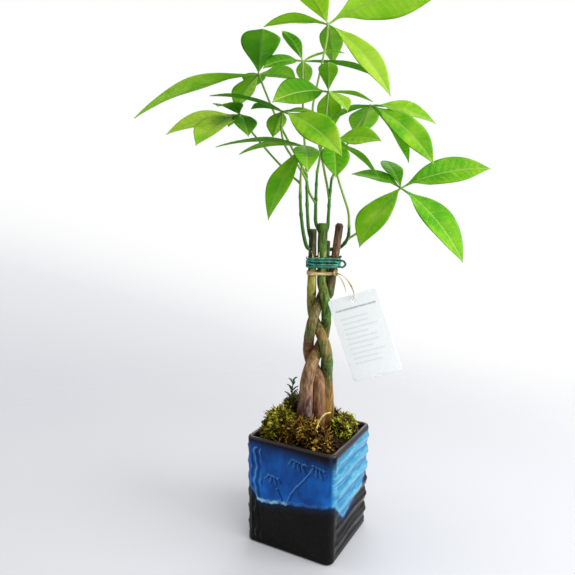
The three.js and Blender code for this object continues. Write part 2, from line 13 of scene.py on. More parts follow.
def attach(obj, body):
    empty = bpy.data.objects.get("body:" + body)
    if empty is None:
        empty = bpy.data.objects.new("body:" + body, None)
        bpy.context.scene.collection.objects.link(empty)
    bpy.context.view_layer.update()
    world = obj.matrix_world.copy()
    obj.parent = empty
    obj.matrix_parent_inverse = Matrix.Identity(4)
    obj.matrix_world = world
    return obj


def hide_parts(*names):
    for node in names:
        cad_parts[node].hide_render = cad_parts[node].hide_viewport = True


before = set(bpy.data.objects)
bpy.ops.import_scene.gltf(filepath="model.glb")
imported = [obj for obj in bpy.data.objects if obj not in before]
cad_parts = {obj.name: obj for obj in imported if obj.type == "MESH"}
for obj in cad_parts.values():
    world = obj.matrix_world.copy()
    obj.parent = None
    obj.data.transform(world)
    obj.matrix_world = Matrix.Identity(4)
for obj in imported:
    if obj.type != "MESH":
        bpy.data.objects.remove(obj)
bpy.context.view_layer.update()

scene = bpy.context.scene
MM = 0.001


# ---------- camera ----------
# A short lens at a table's edge, level with the foot of the leaves, looks slightly down on the pot.
# It leans to one side by less than a degree.
eye = Vector((0.2416, -0.4986, 0.344))
heading, downward, lean = math.radians(28.59), math.radians(7.88), math.radians(0.83)
ahead = Vector((
    -math.sin(heading) * math.cos(downward),
    math.cos(heading) * math.cos(downward),
    -math.sin(downward),
))
level = Vector((math.cos(heading), math.sin(heading), 0))
upward = level.cross(ahead)
right = level * math.cos(lean) + upward * math.sin(lean)
above = upward * math.cos(lean) - level * math.sin(lean)
camera = bpy.data.objects.new("camera", bpy.data.cameras.new("camera"))
camera.data.sensor_width = 36
camera.data.lens = 33.93
camera.data.clip_start = 0.01
camera.matrix_world = Matrix.Translation(eye) @ Matrix((right, above, -ahead)).transposed().to_4x4()
scene.collection.objects.link(camera)
scene.camera = camera


# ---------- pot ----------
# Slip-cast stoneware, near square, rippled on three walls, with ribs and bamboo carved on the fourth.
# It was dipped twice: an iron-brown glaze all over, then a cobalt blue one that ran and pooled halfway down.
# It stands on a bare foot, and its rim is a plain band.
POT_SIDE, POT_BASE_SIDE, POT_HEIGHT = 100, 97.6, 115
POT_CORNER, POT_WALL, POT_FLOOR, RIM_BAND = 8, 5.5, 8, 8
POT_ROW = 0.8
RIPPLE_PITCH, RIPPLE_DEPTH = 17, 1.15
FINE_RIPPLE_PITCH, FINE_RIPPLE_DEPTH = 6.1, 0.28
RIPPLE_DRIFT, DRIFT_PITCH = 0.6, 60
RIB_PITCH, RIB_DEPTH, RIBS_END = 7.2, 1.6, -29
STALK_STAND, LEAF_STAND = 1.5, 1.4
CARVED_WALL, RIGHT_WALL = 0, 1

# Where the blue glaze stopped running on each wall, as (millimetres along it, height).
GLAZE_ENDS = [
    [
        (-42, 59), (-38, 53), (-33, 48), (-25, 47.4), (-15, 49.5), (0, 52.5),
        (14, 54.5), (28, 56.5), (40, 59), (47, 61), (50, 60),
    ],
    [
        (-42, 58), (-38, 53.5), (-30, 46), (-22, 39.5), (-14, 39.5), (-4, 42),
        (8, 44.5), (22, 49), (33, 55.5), (42, 61), (50, 63),
    ],
    [(-42, 62), (-20, 45), (-4, 49), (18, 41), (34, 50), (50, 57)],
    [(-42, 57), (-24, 47), (0, 52), (22, 46), (36, 63), (42, 70), (47, 66), (50, 60)],
]
# Where it thins out under the rim and the iron glaze shows through.
GLAZE_TOPS = [
    [(-50, 111), (-30, 110), (0, 109), (16, 108), (30, 107), (42, 105.5), (47, 104), (50, 105)],
    [(-42, 110), (50, 111)],
    [(-42, 109), (0, 106), (44, 108), (50, 104)],
    [(-42, 104), (0, 108), (40, 106), (50, 109)],
]
# How far down it fades there: the right wall keeps a sharp edge.
TOP_FADE, RIGHT_TOP_FADE = 6.0, 1.8

# Raised bamboo as (along, height, length, width, degrees): a leaning stalk in four joints and its two twigs,
# then a lower twig and the side shoot in two joints that bears it. The leaves hang in three tufts.
BAMBOO_STALK = [
    (2.5, 60, 11, 3.0, 68),
    (8, 70, 12, 2.8, 56),
    (16, 80, 14, 2.6, 50),
    (23.5, 90, 12, 2.2, 54),
    (12, 100.5, 16, 1.3, -14),
    (35, 99.5, 16, 1.3, -12),
    (-16, 78.5, 14, 1.3, -8),
    (-9, 62, 12, 1.8, 118),
    (-4, 54, 8, 2.0, 140),
]
BAMBOO_LEAVES = [
    (3.5, 98.5, 8, 3.4, -128),
    (8, 96.5, 9, 3.6, -100),
    (13, 95, 9.5, 3.6, -76),
    (18.5, 94.5, 9.5, 3.6, -58),
    (21.5, 99, 8, 2.8, -20),
    (27.5, 95, 9, 3.6, -112),
    (32.5, 93.5, 10, 3.6, -90),
    (37.5, 93, 10, 3.6, -68),
    (42, 94.5, 8, 2.8, -48),
    (-24, 76, 8, 3.0, -140),
    (-19, 74, 9, 3.0, -104),
    (-13.5, 73.5, 9, 3.0, -72),
    (-9, 75.5, 8, 2.8, -38),
]


def linear(hex_colour, alpha=1.0):
    """An sRGB hex colour as the linear colour a shader socket takes."""
    parts = [int(hex_colour[i : i + 2], 16) / 255 for i in (1, 3, 5)]
    return [p / 12.92 if p <= 0.04045 else ((p + 0.055) / 1.055) ** 2.4 for p in parts] + [alpha]


def new_material(name):
    """A material without nodes."""
    material = bpy.data.materials.new(name)
    material.use_nodes = True
    material.node_tree.nodes.clear()
    return material


def add(material, kind, sockets=(), stops=(), output=None, **settings):
    """Adds a node with its settings and links, and gives the output named, or else the first one in use.

    sockets holds numbers, sRGB hex colours and other nodes' outputs, by name or in the node's own order.
    stops are a colour ramp's, as (position, sRGB hex).
    """
    made = material.node_tree.nodes.new("ShaderNode" + kind)
    for name, value in settings.items():
        setattr(made, name, value)
    if not isinstance(sockets, dict):
        sockets = dict(zip([i for i, socket in enumerate(made.inputs) if socket.enabled], sockets))
    for name, value in sockets.items():
        if isinstance(value, bpy.types.NodeSocket):
            material.node_tree.links.new(value, made.inputs[name])
        else:
            made.inputs[name].default_value = linear(value) if isinstance(value, str) else value
    if stops:
        elements = made.color_ramp.elements
        while len(elements) < len(stops):
            elements.new(0.5)
        for element, (position, colour) in zip(elements, stops):
            element.position, element.color = position, linear(colour)
    if output:
        return made.outputs[output]
    in_use = [socket for socket in made.outputs if socket.enabled]
    return in_use[0] if in_use else None


def measured(material, *names):
    """The numbers that a piece's mesh carries at its points, by name."""
    return [add(material, "Attribute", output="Fac", attribute_name=name) for name in names]


def speckle(material, coordinates, size_mm, detail=3.0, stretch=(1, 1, 1)):
    """Noise from 0 to 1 whose lumps are about size_mm across, drawn out along an axis by stretch."""
    turned = add(material, "Mapping", {"Vector": coordinates, "Scale": [1 / s for s in stretch]})
    return add(material, "TexNoise", [turned, 1 / (size_mm * MM), detail, 0.6])


# A range whose result eases in and out at its two ends.
EASED = {"interpolation_type": "SMOOTHSTEP"}


def tinged(material, colour, tinge, value, none_at, full_at, most=1.0, within=None):
    """colour mixed with tinge: none of it where value is at none_at, rising to most of it at full_at.

    within is a share that holds the tinge back where it is under 1.
    """
    share = add(material, "MapRange", [value, none_at, full_at, 0, most], **EASED)
    if within is not None:
        share = add(material, "Math", [share, within], operation="MULTIPLY")
    return add(material, "Mix", [share, colour, tinge], data_type="RGBA")


def away_from(material, value, place):
    """How far value is from place, on either side."""
    gap = add(material, "Math", [value, place], operation="SUBTRACT")
    return add(material, "Math", [gap], operation="ABSOLUTE")


def surface(material, colour, roughness, relief, strength, depth_mm, **more):
    """A shader of one finish with fine relief on it; more sets other sockets, named with _ for a space."""
    bump = add(material, "Bump", {"Height": relief, "Strength": strength, "Distance": depth_mm * MM})
    sockets = {"Base Color": colour, "Roughness": roughness, "Normal": bump}
    sockets |= {name.replace("_", " "): value for name, value in more.items()}
    return add(material, "BsdfPrincipled", sockets)


def piece(name, points, faces, material, slot, replaced=(), numbers=None):
    """One piece of the object from points in millimetres; numbers are what its finish reads at each point."""
    mesh = bpy.data.meshes.new(name)
    mesh.from_pydata((np.asarray(points, float) * MM).tolist(), [], [tuple(face) for face in faces])
    mesh.shade_smooth()
    for key, values in (numbers or {}).items():
        mesh.attributes.new(key, "FLOAT", "POINT").data.foreach_set("value", np.asarray(values, np.float32))
    mesh.materials.append(material)
    made = bpy.data.objects.new(name, mesh)
    scene.collection.objects.link(made)
    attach(made, "root")
    if replaced:
        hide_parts(*replaced)
    return made


def eased(value, low, high):
    """0 below low, 1 above high and a smooth step between, for arrays."""
    share = np.clip((value - low) / (high - low), 0, 1)
    return share * share * (3 - 2 * share)


def wave(value, pitch):
    """A sine wave that repeats every pitch."""
    return np.sin(2 * math.pi * value / pitch)


def wall_outline(half, corner, carved_columns, plain_columns, corner_steps):
    """Points round a square with round corners, the carved wall first: places, ways out, walls and alongs."""
    places, outs, walls, alongs = [], [], [], []
    flat = half - corner
    for wall in range(4):
        cos, sin = [1, 0, -1, 0][wall], [0, 1, 0, -1][wall]
        columns = np.linspace(-flat, flat, carved_columns if wall == CARVED_WALL else plain_columns)
        spots = [(x, -half, 0.0, -1.0) for x in columns]
        for step in range(1, corner_steps):
            angle = math.pi / 2 * step / corner_steps
            out = (math.sin(angle), -math.cos(angle))
            spots.append((flat + corner * out[0], -flat + corner * out[1], *out))
        for x, y, out_x, out_y in spots:
            places.append((x * cos - y * sin, x * sin + y * cos))
            outs.append((out_x * cos - out_y * sin, out_x * sin + out_y * cos))
            walls.append(wall)
            alongs.append(x)
    return np.array(places), np.array(outs), np.array(walls), np.array(alongs)


def bamboo_height(along, height):
    """How far the raised bamboo stands out of the carved wall, in millimetres."""
    stand = np.zeros(np.broadcast(along, height).shape)
    for ornaments, full_stand in ((BAMBOO_STALK, STALK_STAND), (BAMBOO_LEAVES, LEAF_STAND)):
        for x, z, length, width, degrees in ornaments:
            cos, sin = math.cos(math.radians(degrees)), math.sin(math.radians(degrees))
            run = ((along - x) * cos + (height - z) * sin) / (length / 2)
            off = (height - z) * cos - (along - x) * sin
            inside = np.clip(1 - run**2, 0, 1)
            if ornaments is BAMBOO_LEAVES:
                # Broadest near its stalk, and pointed.
                half = np.maximum(width / 2 * inside**0.8 * (1 - 0.35 * run), 0.05)
                knot = 1
            else:
                # A joint swells at both ends.
                half = width / 2 * (1 + 0.25 * run**8)
                knot = 1 + 0.3 * run**8
            swell = np.clip(1 - (off / half) ** 2, 0, 1) ** 0.5
            stand = np.maximum(stand, np.where(inside > 0, full_stand * swell * knot, 0))
    return stand


def wall_stand(wall, along, height):
    """How far a wall stands out of its flat face: carving on one, ripples on the others."""
    band_foot = POT_HEIGHT - RIM_BAND
    field = eased(height, 5, 12) * (1 - eased(height, band_foot - 3, band_foot))
    in_from_corner = 1 - eased(np.abs(along), POT_SIDE / 2 - 9, POT_SIDE / 2 - 1)
    if wall == CARVED_WALL:
        ribbed = 1 - eased(along, RIBS_END - 3, RIBS_END + 1)
        sway = 1.4 * wave(height, 31) + 0.5 * wave(height, 11)
        rib = (0.5 + 0.5 * np.cos(2 * math.pi * (along + sway) / RIB_PITCH)) ** 1.3
        carved = in_from_corner * (ribbed * RIB_DEPTH * rib + (1 - ribbed) * bamboo_height(along, height))
        hand_made = 0.12 * np.sin(along / 5.1 + height / 7.3)
        return field * (carved + hand_made)
    drift = RIPPLE_DRIFT * wave(POT_SIDE * wall + along, DRIFT_PITCH)
    ripple = np.sin(2 * math.pi * (height + drift) / RIPPLE_PITCH + 1)
    fine = np.sin(2 * math.pi * (height + 1.9 * drift) / FINE_RIPPLE_PITCH + 2)
    # The ripples run on round the plain corners and die away at the corners of the carved wall.
    reach = {RIGHT_WALL: eased(along, -42, -34), 2: 1, 3: 1 - eased(along, 43, 50)}[wall]
    rippled = RIPPLE_DEPTH * ripple + FINE_RIPPLE_DEPTH * fine
    return field * reach * (0.75 + 0.25 * in_from_corner) * rippled


def lit_edge(along, height):
    """Above 0 on the left and upper sides of the carving, where a painted highlight lies as if lit from the
    upper left.

    It is below 0 on the other sides, where painted shade lies.
    """
    step = 0.6
    left = wall_stand(CARVED_WALL, along + step, height) - wall_stand(CARVED_WALL, along - step, height)
    upper = wall_stand(CARVED_WALL, along, height - step) - wall_stand(CARVED_WALL, along, height + step)
    upper = 0.6 * upper
    strength = 1.1 - 0.45 * eased(along, RIBS_END - 3, RIBS_END + 1)
    return np.clip(strength * np.where(np.abs(left) > np.abs(upper), left, upper), -1, 1)


def pot_rings():
    """The pot as rings (inset, height, carved) from the middle of its base, over the rim and down inside."""
    middle = POT_SIDE / 2 - 2
    under = [(middle, 0, 0), (12, 0, 0), (2.4, 0, 0), (1.2, 0.25, 0), (0.4, 0.9, 0), (0, 1.9, 0)]
    outside = [(0, height, 1) for height in np.arange(2.8, 110.6, POT_ROW)]
    lip = [(0, 111.4, 0), (0.1, 112.6, 0), (0.5, 113.8, 0), (1.3, 114.7, 0), (2.4, 115, 0), (3.4, 115, 0)]
    lip += [(4.5, 114.6, 0), (5.2, 113.7, 0), (POT_WALL, 112.4, 0)]
    inside = [(POT_WALL, height, 0) for height in (109, 105, 101, 96, 80, 50, 20, POT_FLOOR)]
    return under + outside + lip + inside + [(middle, POT_FLOOR, 0)]


def ring_faces(rings, columns, closed_ends=True):
    """Quads between rings of equal point counts that follow each other, and one face over each end."""
    faces = []
    for row in range(rings - 1):
        for i in range(columns):
            a, b = row * columns + i, row * columns + (i + 1) % columns
            faces.append((a, b, b + columns, a + columns))
    if closed_ends:
        faces.append(tuple(range(columns - 1, -1, -1)))
        faces.append(tuple((rings - 1) * columns + i for i in range(columns)))
    return faces


def levels_along(curves):
    """The height of each wall's own curve at every column of the pot."""
    return np.array([np.interp(along, *zip(*curves[wall])) for wall, along in zip(walls, alongs)])


places, outs, walls, alongs = wall_outline(POT_SIDE / 2, POT_CORNER, 141, 65, 9)
glaze_end = levels_along(GLAZE_ENDS)
glaze_end = glaze_end + 0.4 * np.sin(alongs / 2.3 + walls) + 0.2 * np.sin(alongs / 0.9)
glaze_top = levels_along(GLAZE_TOPS)
top_fade = np.where(walls == RIGHT_WALL, RIGHT_TOP_FADE, TOP_FADE)
pot_points, glaze_depth, iron_top, edge_light_and_ripple = [], [], [], []
for inset, height, carved in pot_rings():
    share = (POT_BASE_SIDE + (POT_SIDE - POT_BASE_SIDE) * height / POT_HEIGHT) / POT_SIDE
    stand = np.full(len(alongs), -float(inset))
    if inset > POT_SIDE / 2 - 3:
        # The first and the last ring gather at the middle of the floor.
        share, stand = share * 0.04, 0 * stand
    edge = np.zeros(len(alongs))
    for wall in range(4) if carved else ():
        on_wall = walls == wall
        stand[on_wall] += wall_stand(wall, alongs[on_wall], height)
        # The carved wall carries its painted highlight and shade, and the rippled walls carry their ripple
        # height.
        edge[on_wall] = lit_edge(alongs[on_wall], height) if wall == CARVED_WALL else stand[on_wall]
    flat = places * share + outs * stand[:, None]
    pot_points.append(np.column_stack([flat, np.full(len(flat), height)]))
    glaze_depth.append(height - glaze_end)
    iron_top.append((height - glaze_top) / top_fade)
    edge_light_and_ripple.append(edge)

# Stoneware glazed twice and fired to a soft gloss: cobalt over iron brown, mottled, with painted highlight
# and shade on the carving and on the right wall's ripples.
stoneware = new_material("twice dipped glazed stoneware")
spot = add(stoneware, "TexCoord", output="Object")
x, y, z = add(stoneware, "SeparateXYZ", [spot]).node.outputs
past_end, past_top, lit_edges_and_crests = measured(stoneware, "glaze_depth", "iron_top", "edge_light_and_ripple")
runs = speckle(stoneware, spot, 6, 4, stretch=(1, 1, 4))
mottle = speckle(stoneware, spot, 3, 6)
cloud = speckle(stoneware, spot, 30, 2)
cobalt = add(stoneware, "ValToRGB", [cloud], [(0.32, "#083c86"), (0.5, "#0c55a8"), (0.68, "#146ec8")])
cobalt = tinged(stoneware, cobalt, "#08285f", runs, 0.5, 0.75, 0.5)
cobalt = tinged(stoneware, cobalt, "#3a83c4", mottle, 0.58, 0.8, 0.2)
# The right wall is painted a lighter turquoise blue that streaks along the ripples: partly its glaze's own
# colour and partly painted light for the window at its right. Paler painted highlights lie on its ripple
# crests, and its hollows are darker.
streaks = speckle(stoneware, spot, 4, 5, stretch=(1, 5, 1))
sky = add(stoneware, "ValToRGB", [streaks], [(0.32, "#1e678d"), (0.5, "#317b9c"), (0.68, "#5a9ab2")])
sky = tinged(stoneware, sky, "#7cb0c4", lit_edges_and_crests, 0.1, 1.4, 0.3)
sky = tinged(stoneware, sky, "#195c88", lit_edges_and_crests, -0.1, -1.4, 0.6)
cobalt = tinged(stoneware, cobalt, sky, x, 46.2 * MM, 49.2 * MM)
iron = add(stoneware, "ValToRGB", [mottle], [(0.3, "#070606"), (0.55, "#0c0a09"), (0.78, "#1c1210")])
cobalt = tinged(stoneware, cobalt, "#0b2347", past_top, -3.2, 0.4, 0.75)
cobalt = tinged(stoneware, cobalt, iron, past_top, -0.8, 0.8)
# On the carved wall painted shade lies dark on the lower and right sides of the raised forms, and a painted
# highlight lies pale on their left and upper edges; it is also dark at the near corner.
carved_side = add(stoneware, "MapRange", [y, -46.2 * MM, -49 * MM], **EASED)
from_corner = away_from(stoneware, x, 46.8 * MM)
cobalt = tinged(stoneware, cobalt, "#071c44", lit_edges_and_crests, -0.12, -0.8, 0.75, carved_side)
cobalt = tinged(stoneware, cobalt, "#0a2e50", from_corner, 3.2 * MM, 0.4 * MM, 0.6, carved_side)
cobalt = tinged(stoneware, cobalt, "#7fb4dc", lit_edges_and_crests, 0.12, 0.9, 0.45, carved_side)
# It gathered in a broken pale roll just above its edge, most of it left of the stalk's foot.
cobalt = tinged(stoneware, cobalt, "#08204a", past_end, 3, 0, 0.75)
patches = add(stoneware, "MapRange", [speckle(stoneware, spot, 7, 1), 0.3, 0.55, 0.15, 1], **EASED)
from_left = away_from(stoneware, x, -19 * MM)
from_left = add(stoneware, "MapRange", [from_left, 15 * MM, 24 * MM, 1, 0.1], **EASED)
patches = add(stoneware, "Math", [patches, from_left], operation="MULTIPLY")
cobalt = tinged(stoneware, cobalt, "#8ec6de", away_from(stoneware, past_end, 1.9), 3, 0.4, 0.85, patches)
# Below its edge the blue stained the iron glaze navy for a few millimetres, and the rim broke to brown.
stained = tinged(stoneware, iron, "#0d2445", past_end, -8, -0.5, 0.55)
stained = tinged(stoneware, stained, "#48381a", z, 110.5 * MM, 113.8 * MM, 0.4)
body = tinged(stoneware, stained, cobalt, past_end, -1.2, 0.8)
body = tinged(stoneware, body, stained, z, 111.5 * MM, 114 * MM)
bare_clay = "#8a7460"
body = tinged(stoneware, body, bare_clay, z, 1.2 * MM, 0.4 * MM)
gloss = add(stoneware, "MapRange", [mottle, 0.3, 0.8, 0.16, 0.3], **EASED)
orange_peel = speckle(stoneware, spot, 1.6, 2)
glazed = surface(stoneware, body, gloss, orange_peel, 0.1, 0.4, IOR=1.5, Specular_IOR_Level=0.12)
add(stoneware, "OutputMaterial", [glazed])
piece(
    "glazed_pot",
    np.concatenate(pot_points),
    ring_faces(len(pot_points), len(alongs)),
    stoneware,
    "glaze",
    replaced=["pot"],
    numbers={
        "glaze_depth": np.concatenate(glaze_depth),
        "iron_top": np.concatenate(iron_top),
        "edge_light_and_ripple": np.concatenate(edge_light_and_ripple),
    },
)


# ---------- soil ----------
# Dark potting mix, watered and settled: peat crumbs with bits of bark. It fills the pot to a finger's breadth
# under the rim and is heaped a little round the stems, which stand in it.
SOIL_EDGE, SOIL_CROWN, SEAT_GAP = 103, 117, 0.35
SOIL_REACH, SOIL_ROWS = 58, 34
CRUMBS, SMALLEST_CRUMB, BIGGEST_CRUMB = 650, 0.7, 2.2


def ground_height(x, y):
    """The mound's height in millimetres."""
    away = np.minimum(1, np.hypot(x, y) / SOIL_REACH)
    return SOIL_EDGE + (SOIL_CROWN - SOIL_EDGE) * (1 - away**2)


def lumps(points, size, seed=0.0):
    """Smooth noise from about -1 to 1 at each point, with lumps about size across."""
    return np.array([noise.noise(Vector(p) / size + Vector((seed, seed, seed))) for p in points])


def round_lump(rng, centre, radii):
    """A rough crumb with a point below, one above and two rings of five between, as points and faces."""
    turn = rng.uniform(0, 2 * math.pi)
    points = []
    for reach, rise in [(0, -1), (0.9, -0.4), (1, 0.35), (0, 1)]:
        for k in range(1 if reach == 0 else 5):
            angle = turn + 2 * math.pi * k / 5
            wobble = rng.uniform(0.75, 1.2)
            points.append((
                centre[0] + radii[0] * reach * wobble * math.cos(angle),
                centre[1] + radii[1] * reach * wobble * math.sin(angle),
                centre[2] + radii[2] * rise,
            ))
    faces = [(0, 1 + (k + 1) % 5, 1 + k) for k in range(5)]
    faces += [(1 + k, 1 + (k + 1) % 5, 6 + (k + 1) % 5, 6 + k) for k in range(5)]
    faces += [(11, 6 + k, 6 + (k + 1) % 5) for k in range(5)]
    return points, faces


def joined(parts):
    """Several (points, faces) as one."""
    points, faces, start = [], [], 0
    for some_points, some_faces, *_ in parts:
        faces += [tuple(start + i for i in face) for face in some_faces]
        points.append(some_points)
        start += len(some_points)
    return np.concatenate(points), faces


cavity = POT_SIDE / 2 - POT_WALL - SEAT_GAP
soil_places, *_ = wall_outline(cavity, POT_CORNER - POT_WALL / 2, 31, 31, 5)
soil_rings = [
    np.column_stack([soil_places, np.full(len(soil_places), POT_FLOOR + SEAT_GAP)]),
    np.column_stack([soil_places, ground_height(*soil_places.T) - 0.8]),
]
for step in range(SOIL_ROWS):
    spread = soil_places * (0.99 - step / (SOIL_ROWS + 1))
    heap = np.column_stack([spread, ground_height(*spread.T)])
    heap[:, 2] += 0.9 * lumps(heap, 4.5) + 0.5 * lumps(heap, 1.9, 7)
    soil_rings.append(heap)
soil_parts = [(np.concatenate(soil_rings), ring_faces(len(soil_rings), len(soil_places)))]
rng = np.random.default_rng(3)
for _ in range(CRUMBS):
    x, y = rng.uniform(-cavity + 2, cavity - 2, 2)
    size = rng.uniform(SMALLEST_CRUMB, BIGGEST_CRUMB)
    centre = (x, y, ground_height(x, y) + 0.3 * size)
    soil_parts.append(round_lump(rng, centre, (size, size * rng.uniform(0.5, 1), size * 0.6)))

# Damp peat, dull and rough: near black between the crumbs, with paler bits of bark.
peat = new_material("damp peat mix")
spot = add(peat, "TexCoord", output="Object")
crumbs = speckle(peat, spot, 2.2, 6)
earth = [(0.3, "#120c08"), (0.5, "#2a1c12"), (0.66, "#4b3521"), (0.8, "#7a5d3c")]
earth = add(peat, "ValToRGB", [crumbs], earth)
dullness = add(peat, "MapRange", [crumbs, 0.3, 0.7, 0.6, 0.95], **EASED)
crumbled = surface(peat, earth, dullness, speckle(peat, spot, 0.8, 4), 0.8, 0.5, Specular_IOR_Level=0.1)
add(peat, "OutputMaterial", [crumbled])
piece("potting_mix", *joined(soil_parts), peat, "soil", replaced=["soil"])


# ---------- moss ----------
# Cushions of live sheet moss and dry sphagnum pushed in round the stems: curled fronds over a dense mat.
# Yellow-green where it is alive, wine brown and gold where it has dried.
CUSHIONS = [
    # name, middle, radii, height, seed, frond count, length, width, curl, kind
    ("moss_left_front", (-29, -20), (12.5, 18), 23, 1, 1200, 12, 2.7, 1.5, "live"),
    ("moss_left_back", (-29, 22.5), (12.5, 16), 27, 2.1, 1200, 13, 2.0, 1.4, "turning"),
    ("moss_middle", (-8.5, 13), (5.5, 12), 18, 2.8, 700, 13, 1.5, 1.4, "dry"),
    ("moss_back", (5, 36), (15, 6.5), 14, 3.4, 800, 10, 1.2, 1.1, "dry"),
    ("moss_front", (12, -31.5), (24, 9.5), 19, 4.2, 1400, 15, 2.7, 1.7, "gold"),
    ("moss_right", (33, 19), (8, 15), 15, 5.5, 700, 12, 2.2, 1.3, "bright"),
]
MOSSES = {
    # kind: slot, dead patches, colours from root to tip
    "live": ("moss_green", "#4a3a0e", ["#141402", "#4c4c04", "#98960e", "#e2dc58"]),
    "turning": ("moss_green", "#341c0e", ["#120b03", "#3c2a08", "#6c5c10", "#b0a432"]),
    "dry": ("moss_brown", "#241009", ["#110804", "#361f0e", "#604018", "#9c7c30"]),
    "gold": ("moss_brown", "#32180e", ["#140a04", "#40260a", "#785510", "#dab848"]),
    "bright": ("moss_green", "#5a3e0e", ["#181b03", "#585a06", "#a0a416", "#e4e66a"]),
}
MAT_SPOKES, MAT_RINGS, MAT_SEAT = 40, 14, 2.2
ROOT_SCATTER, ROOT_DEPTH = 0.9, 1.5
CURLS, CURL_LIFT = 90, 2.5


def moss(kind):
    """Soft dull moss, a little lit through, lighter toward the tips of its fronds and brown where it died."""
    made = new_material(kind + " moss")
    _, dead, colours = MOSSES[kind]
    tip, own = measured(made, "tip", "own")
    spot = add(made, "TexCoord", output="Object")
    paleness = add(made, "Math", [tip, 0.6], operation="MULTIPLY")
    paleness = add(made, "Math", [own, 0.5, paleness], operation="MULTIPLY_ADD")
    colour = add(made, "ValToRGB", [paleness], list(zip((0.05, 0.35, 0.65, 0.95), colours)))
    colour = tinged(made, colour, dead, speckle(made, spot, 9, 2), 0.48, 0.56, 0.85)
    soft = {"Base Color": colour, "Roughness": 0.75, "Specular IOR Level": 0.15}
    skin = add(made, "BsdfPrincipled", soft)
    glow = add(made, "BsdfTranslucent", [colour])
    add(made, "OutputMaterial", [add(made, "MixShader", [0.25, skin, glow])])
    return made


def cushion(at, radii, height, seed):
    """The mat under the fronds: a lumpy cap on the ground, as points, outward directions and faces."""
    rows = []
    turn = np.arange(MAT_SPOKES) * 2 * math.pi / MAT_SPOKES
    edge = 1 + 0.13 * np.sin(3 * turn + seed) + 0.07 * np.sin(5 * turn + 2.3 * seed)
    for ring in range(MAT_RINGS, -1, -1):
        share = max(ring / MAT_RINGS, 0.02)
        x = at[0] + radii[0] * share * edge * np.cos(turn)
        y = at[1] + radii[1] * share * edge * np.sin(turn)
        lump = 0.8 + 0.2 * np.sin(x / 2.7 + seed) * np.cos(y / 2.3 - seed)
        rise = 0.6 + 0.92 * height * math.sqrt(1 - share**2.4) * lump
        rows.append(np.column_stack([x, y, ground_height(x, y) + rise]))
    points = np.concatenate([rows[0] - (0, 0, MAT_SEAT), *rows])
    middle = np.array([at[0], at[1], ground_height(*at) + 0.25 * height])
    outward = (points - middle) / np.array([radii[0], radii[1], height])
    outward /= np.linalg.norm(outward, axis=1, keepdims=True)
    return points, outward, ring_faces(MAT_RINGS + 2, MAT_SPOKES)


def fronds(rng, roots, outward, length, width, curl, steps=5):
    """Curled tapering fronds, three-sided and closed.

    Gives points, faces, each point's share of the way to the tip and each frond's own random share.
    """
    count = len(roots)
    heading = outward + rng.normal(0, 0.55, (count, 3)) + (0, 0, 0.3)
    heading /= np.linalg.norm(heading, axis=1, keepdims=True)
    turning = rng.normal(0, 1, (count, 3))
    reach = length * rng.uniform(0.5, 1.25, count)
    broad = width * rng.uniform(0.5, 1.2, count)
    at = roots.copy()
    rows = []
    for step in range(steps + 1):
        share = step / steps
        side = np.cross(heading, turning)
        side /= np.linalg.norm(side, axis=1, keepdims=True) + 1e-9
        lift = np.cross(side, heading)
        half = (broad / 2 * (0.35 + 2.2 * share) * (1 - share) ** 0.8 + 0.04)[:, None]
        rows.append(np.stack([at - side * half, at + side * half, at + lift * half * 0.45], axis=1))
        heading = heading + lift * curl / steps * 1.6 + rng.normal(0, 0.7 * curl / steps, (count, 3))
        heading /= np.linalg.norm(heading, axis=1, keepdims=True)
        at = at + heading * (reach / steps)[:, None]
    points = np.stack(rows, axis=1).reshape(-1, 3)
    per = (steps + 1) * 3
    one = ring_faces(steps + 1, 3)
    faces = [tuple(i * per + v for v in face) for i in range(count) for face in one]
    tip = np.tile(np.repeat(np.linspace(0, 1, steps + 1), 3), count)
    own = np.repeat(rng.uniform(0, 1, count), per)
    return points, faces, tip, own


rng = np.random.default_rng(11)
for name, at, radii, height, seed, count, length, width, curl, kind in CUSHIONS:
    mat_points, outward, mat_faces = cushion(at, radii, height, seed)
    picks = rng.integers(0, len(mat_points) - MAT_SPOKES, count)
    out = outward[picks]
    roots = mat_points[picks] + rng.normal(0, ROOT_SCATTER, (count, 3)) - out * ROOT_DEPTH
    inside = np.max(np.abs(roots[:, :2] + 0.5 * length * out[:, :2]), axis=1) < cavity - 0.5
    small = fronds(rng, roots[inside], out[inside], length, width, curl)
    # A few broad pale curls lie over the rest.
    upper = np.flatnonzero(inside & (out[:, 2] > 0.2))[:: max(1, count // CURLS)]
    raised = roots[upper] + out[upper] * CURL_LIFT
    broad = fronds(rng, raised, out[upper], length * 1.05, width * 1.9, curl + 0.8, steps=8)
    for points, *_ in (small, broad):
        points[:, :2] = np.clip(points[:, :2], -cavity, cavity)
    in_mat = np.zeros(len(mat_points))
    piece(
        name + "_tuft",
        *joined([(mat_points, mat_faces), small, broad]),
        moss(kind),
        MOSSES[kind][0],
        replaced=[name],
        numbers={
            "tip": np.concatenate([in_mat, small[2], 0.45 + 0.55 * broad[2]]),
            "own": np.concatenate([in_mat, small[3], 0.6 + 0.4 * broad[3]]),
        },
    )


# ---------- braided stems ----------
# Three young money tree stems, braided while soft and swollen at the foot, cut level above the tie.
# Bark is smooth and thin: green where it is young, then brown and tan, with leaf scars and corky flecks.
PLANT_TURN = math.radians(28)
BRAID_CENTRE, BRAID_PITCH, BRAID_PHASE_HEIGHT = 6, 150, 238
BRAID_BEGINS, BRAID_SETTLES = (165, 181), (262, 278)
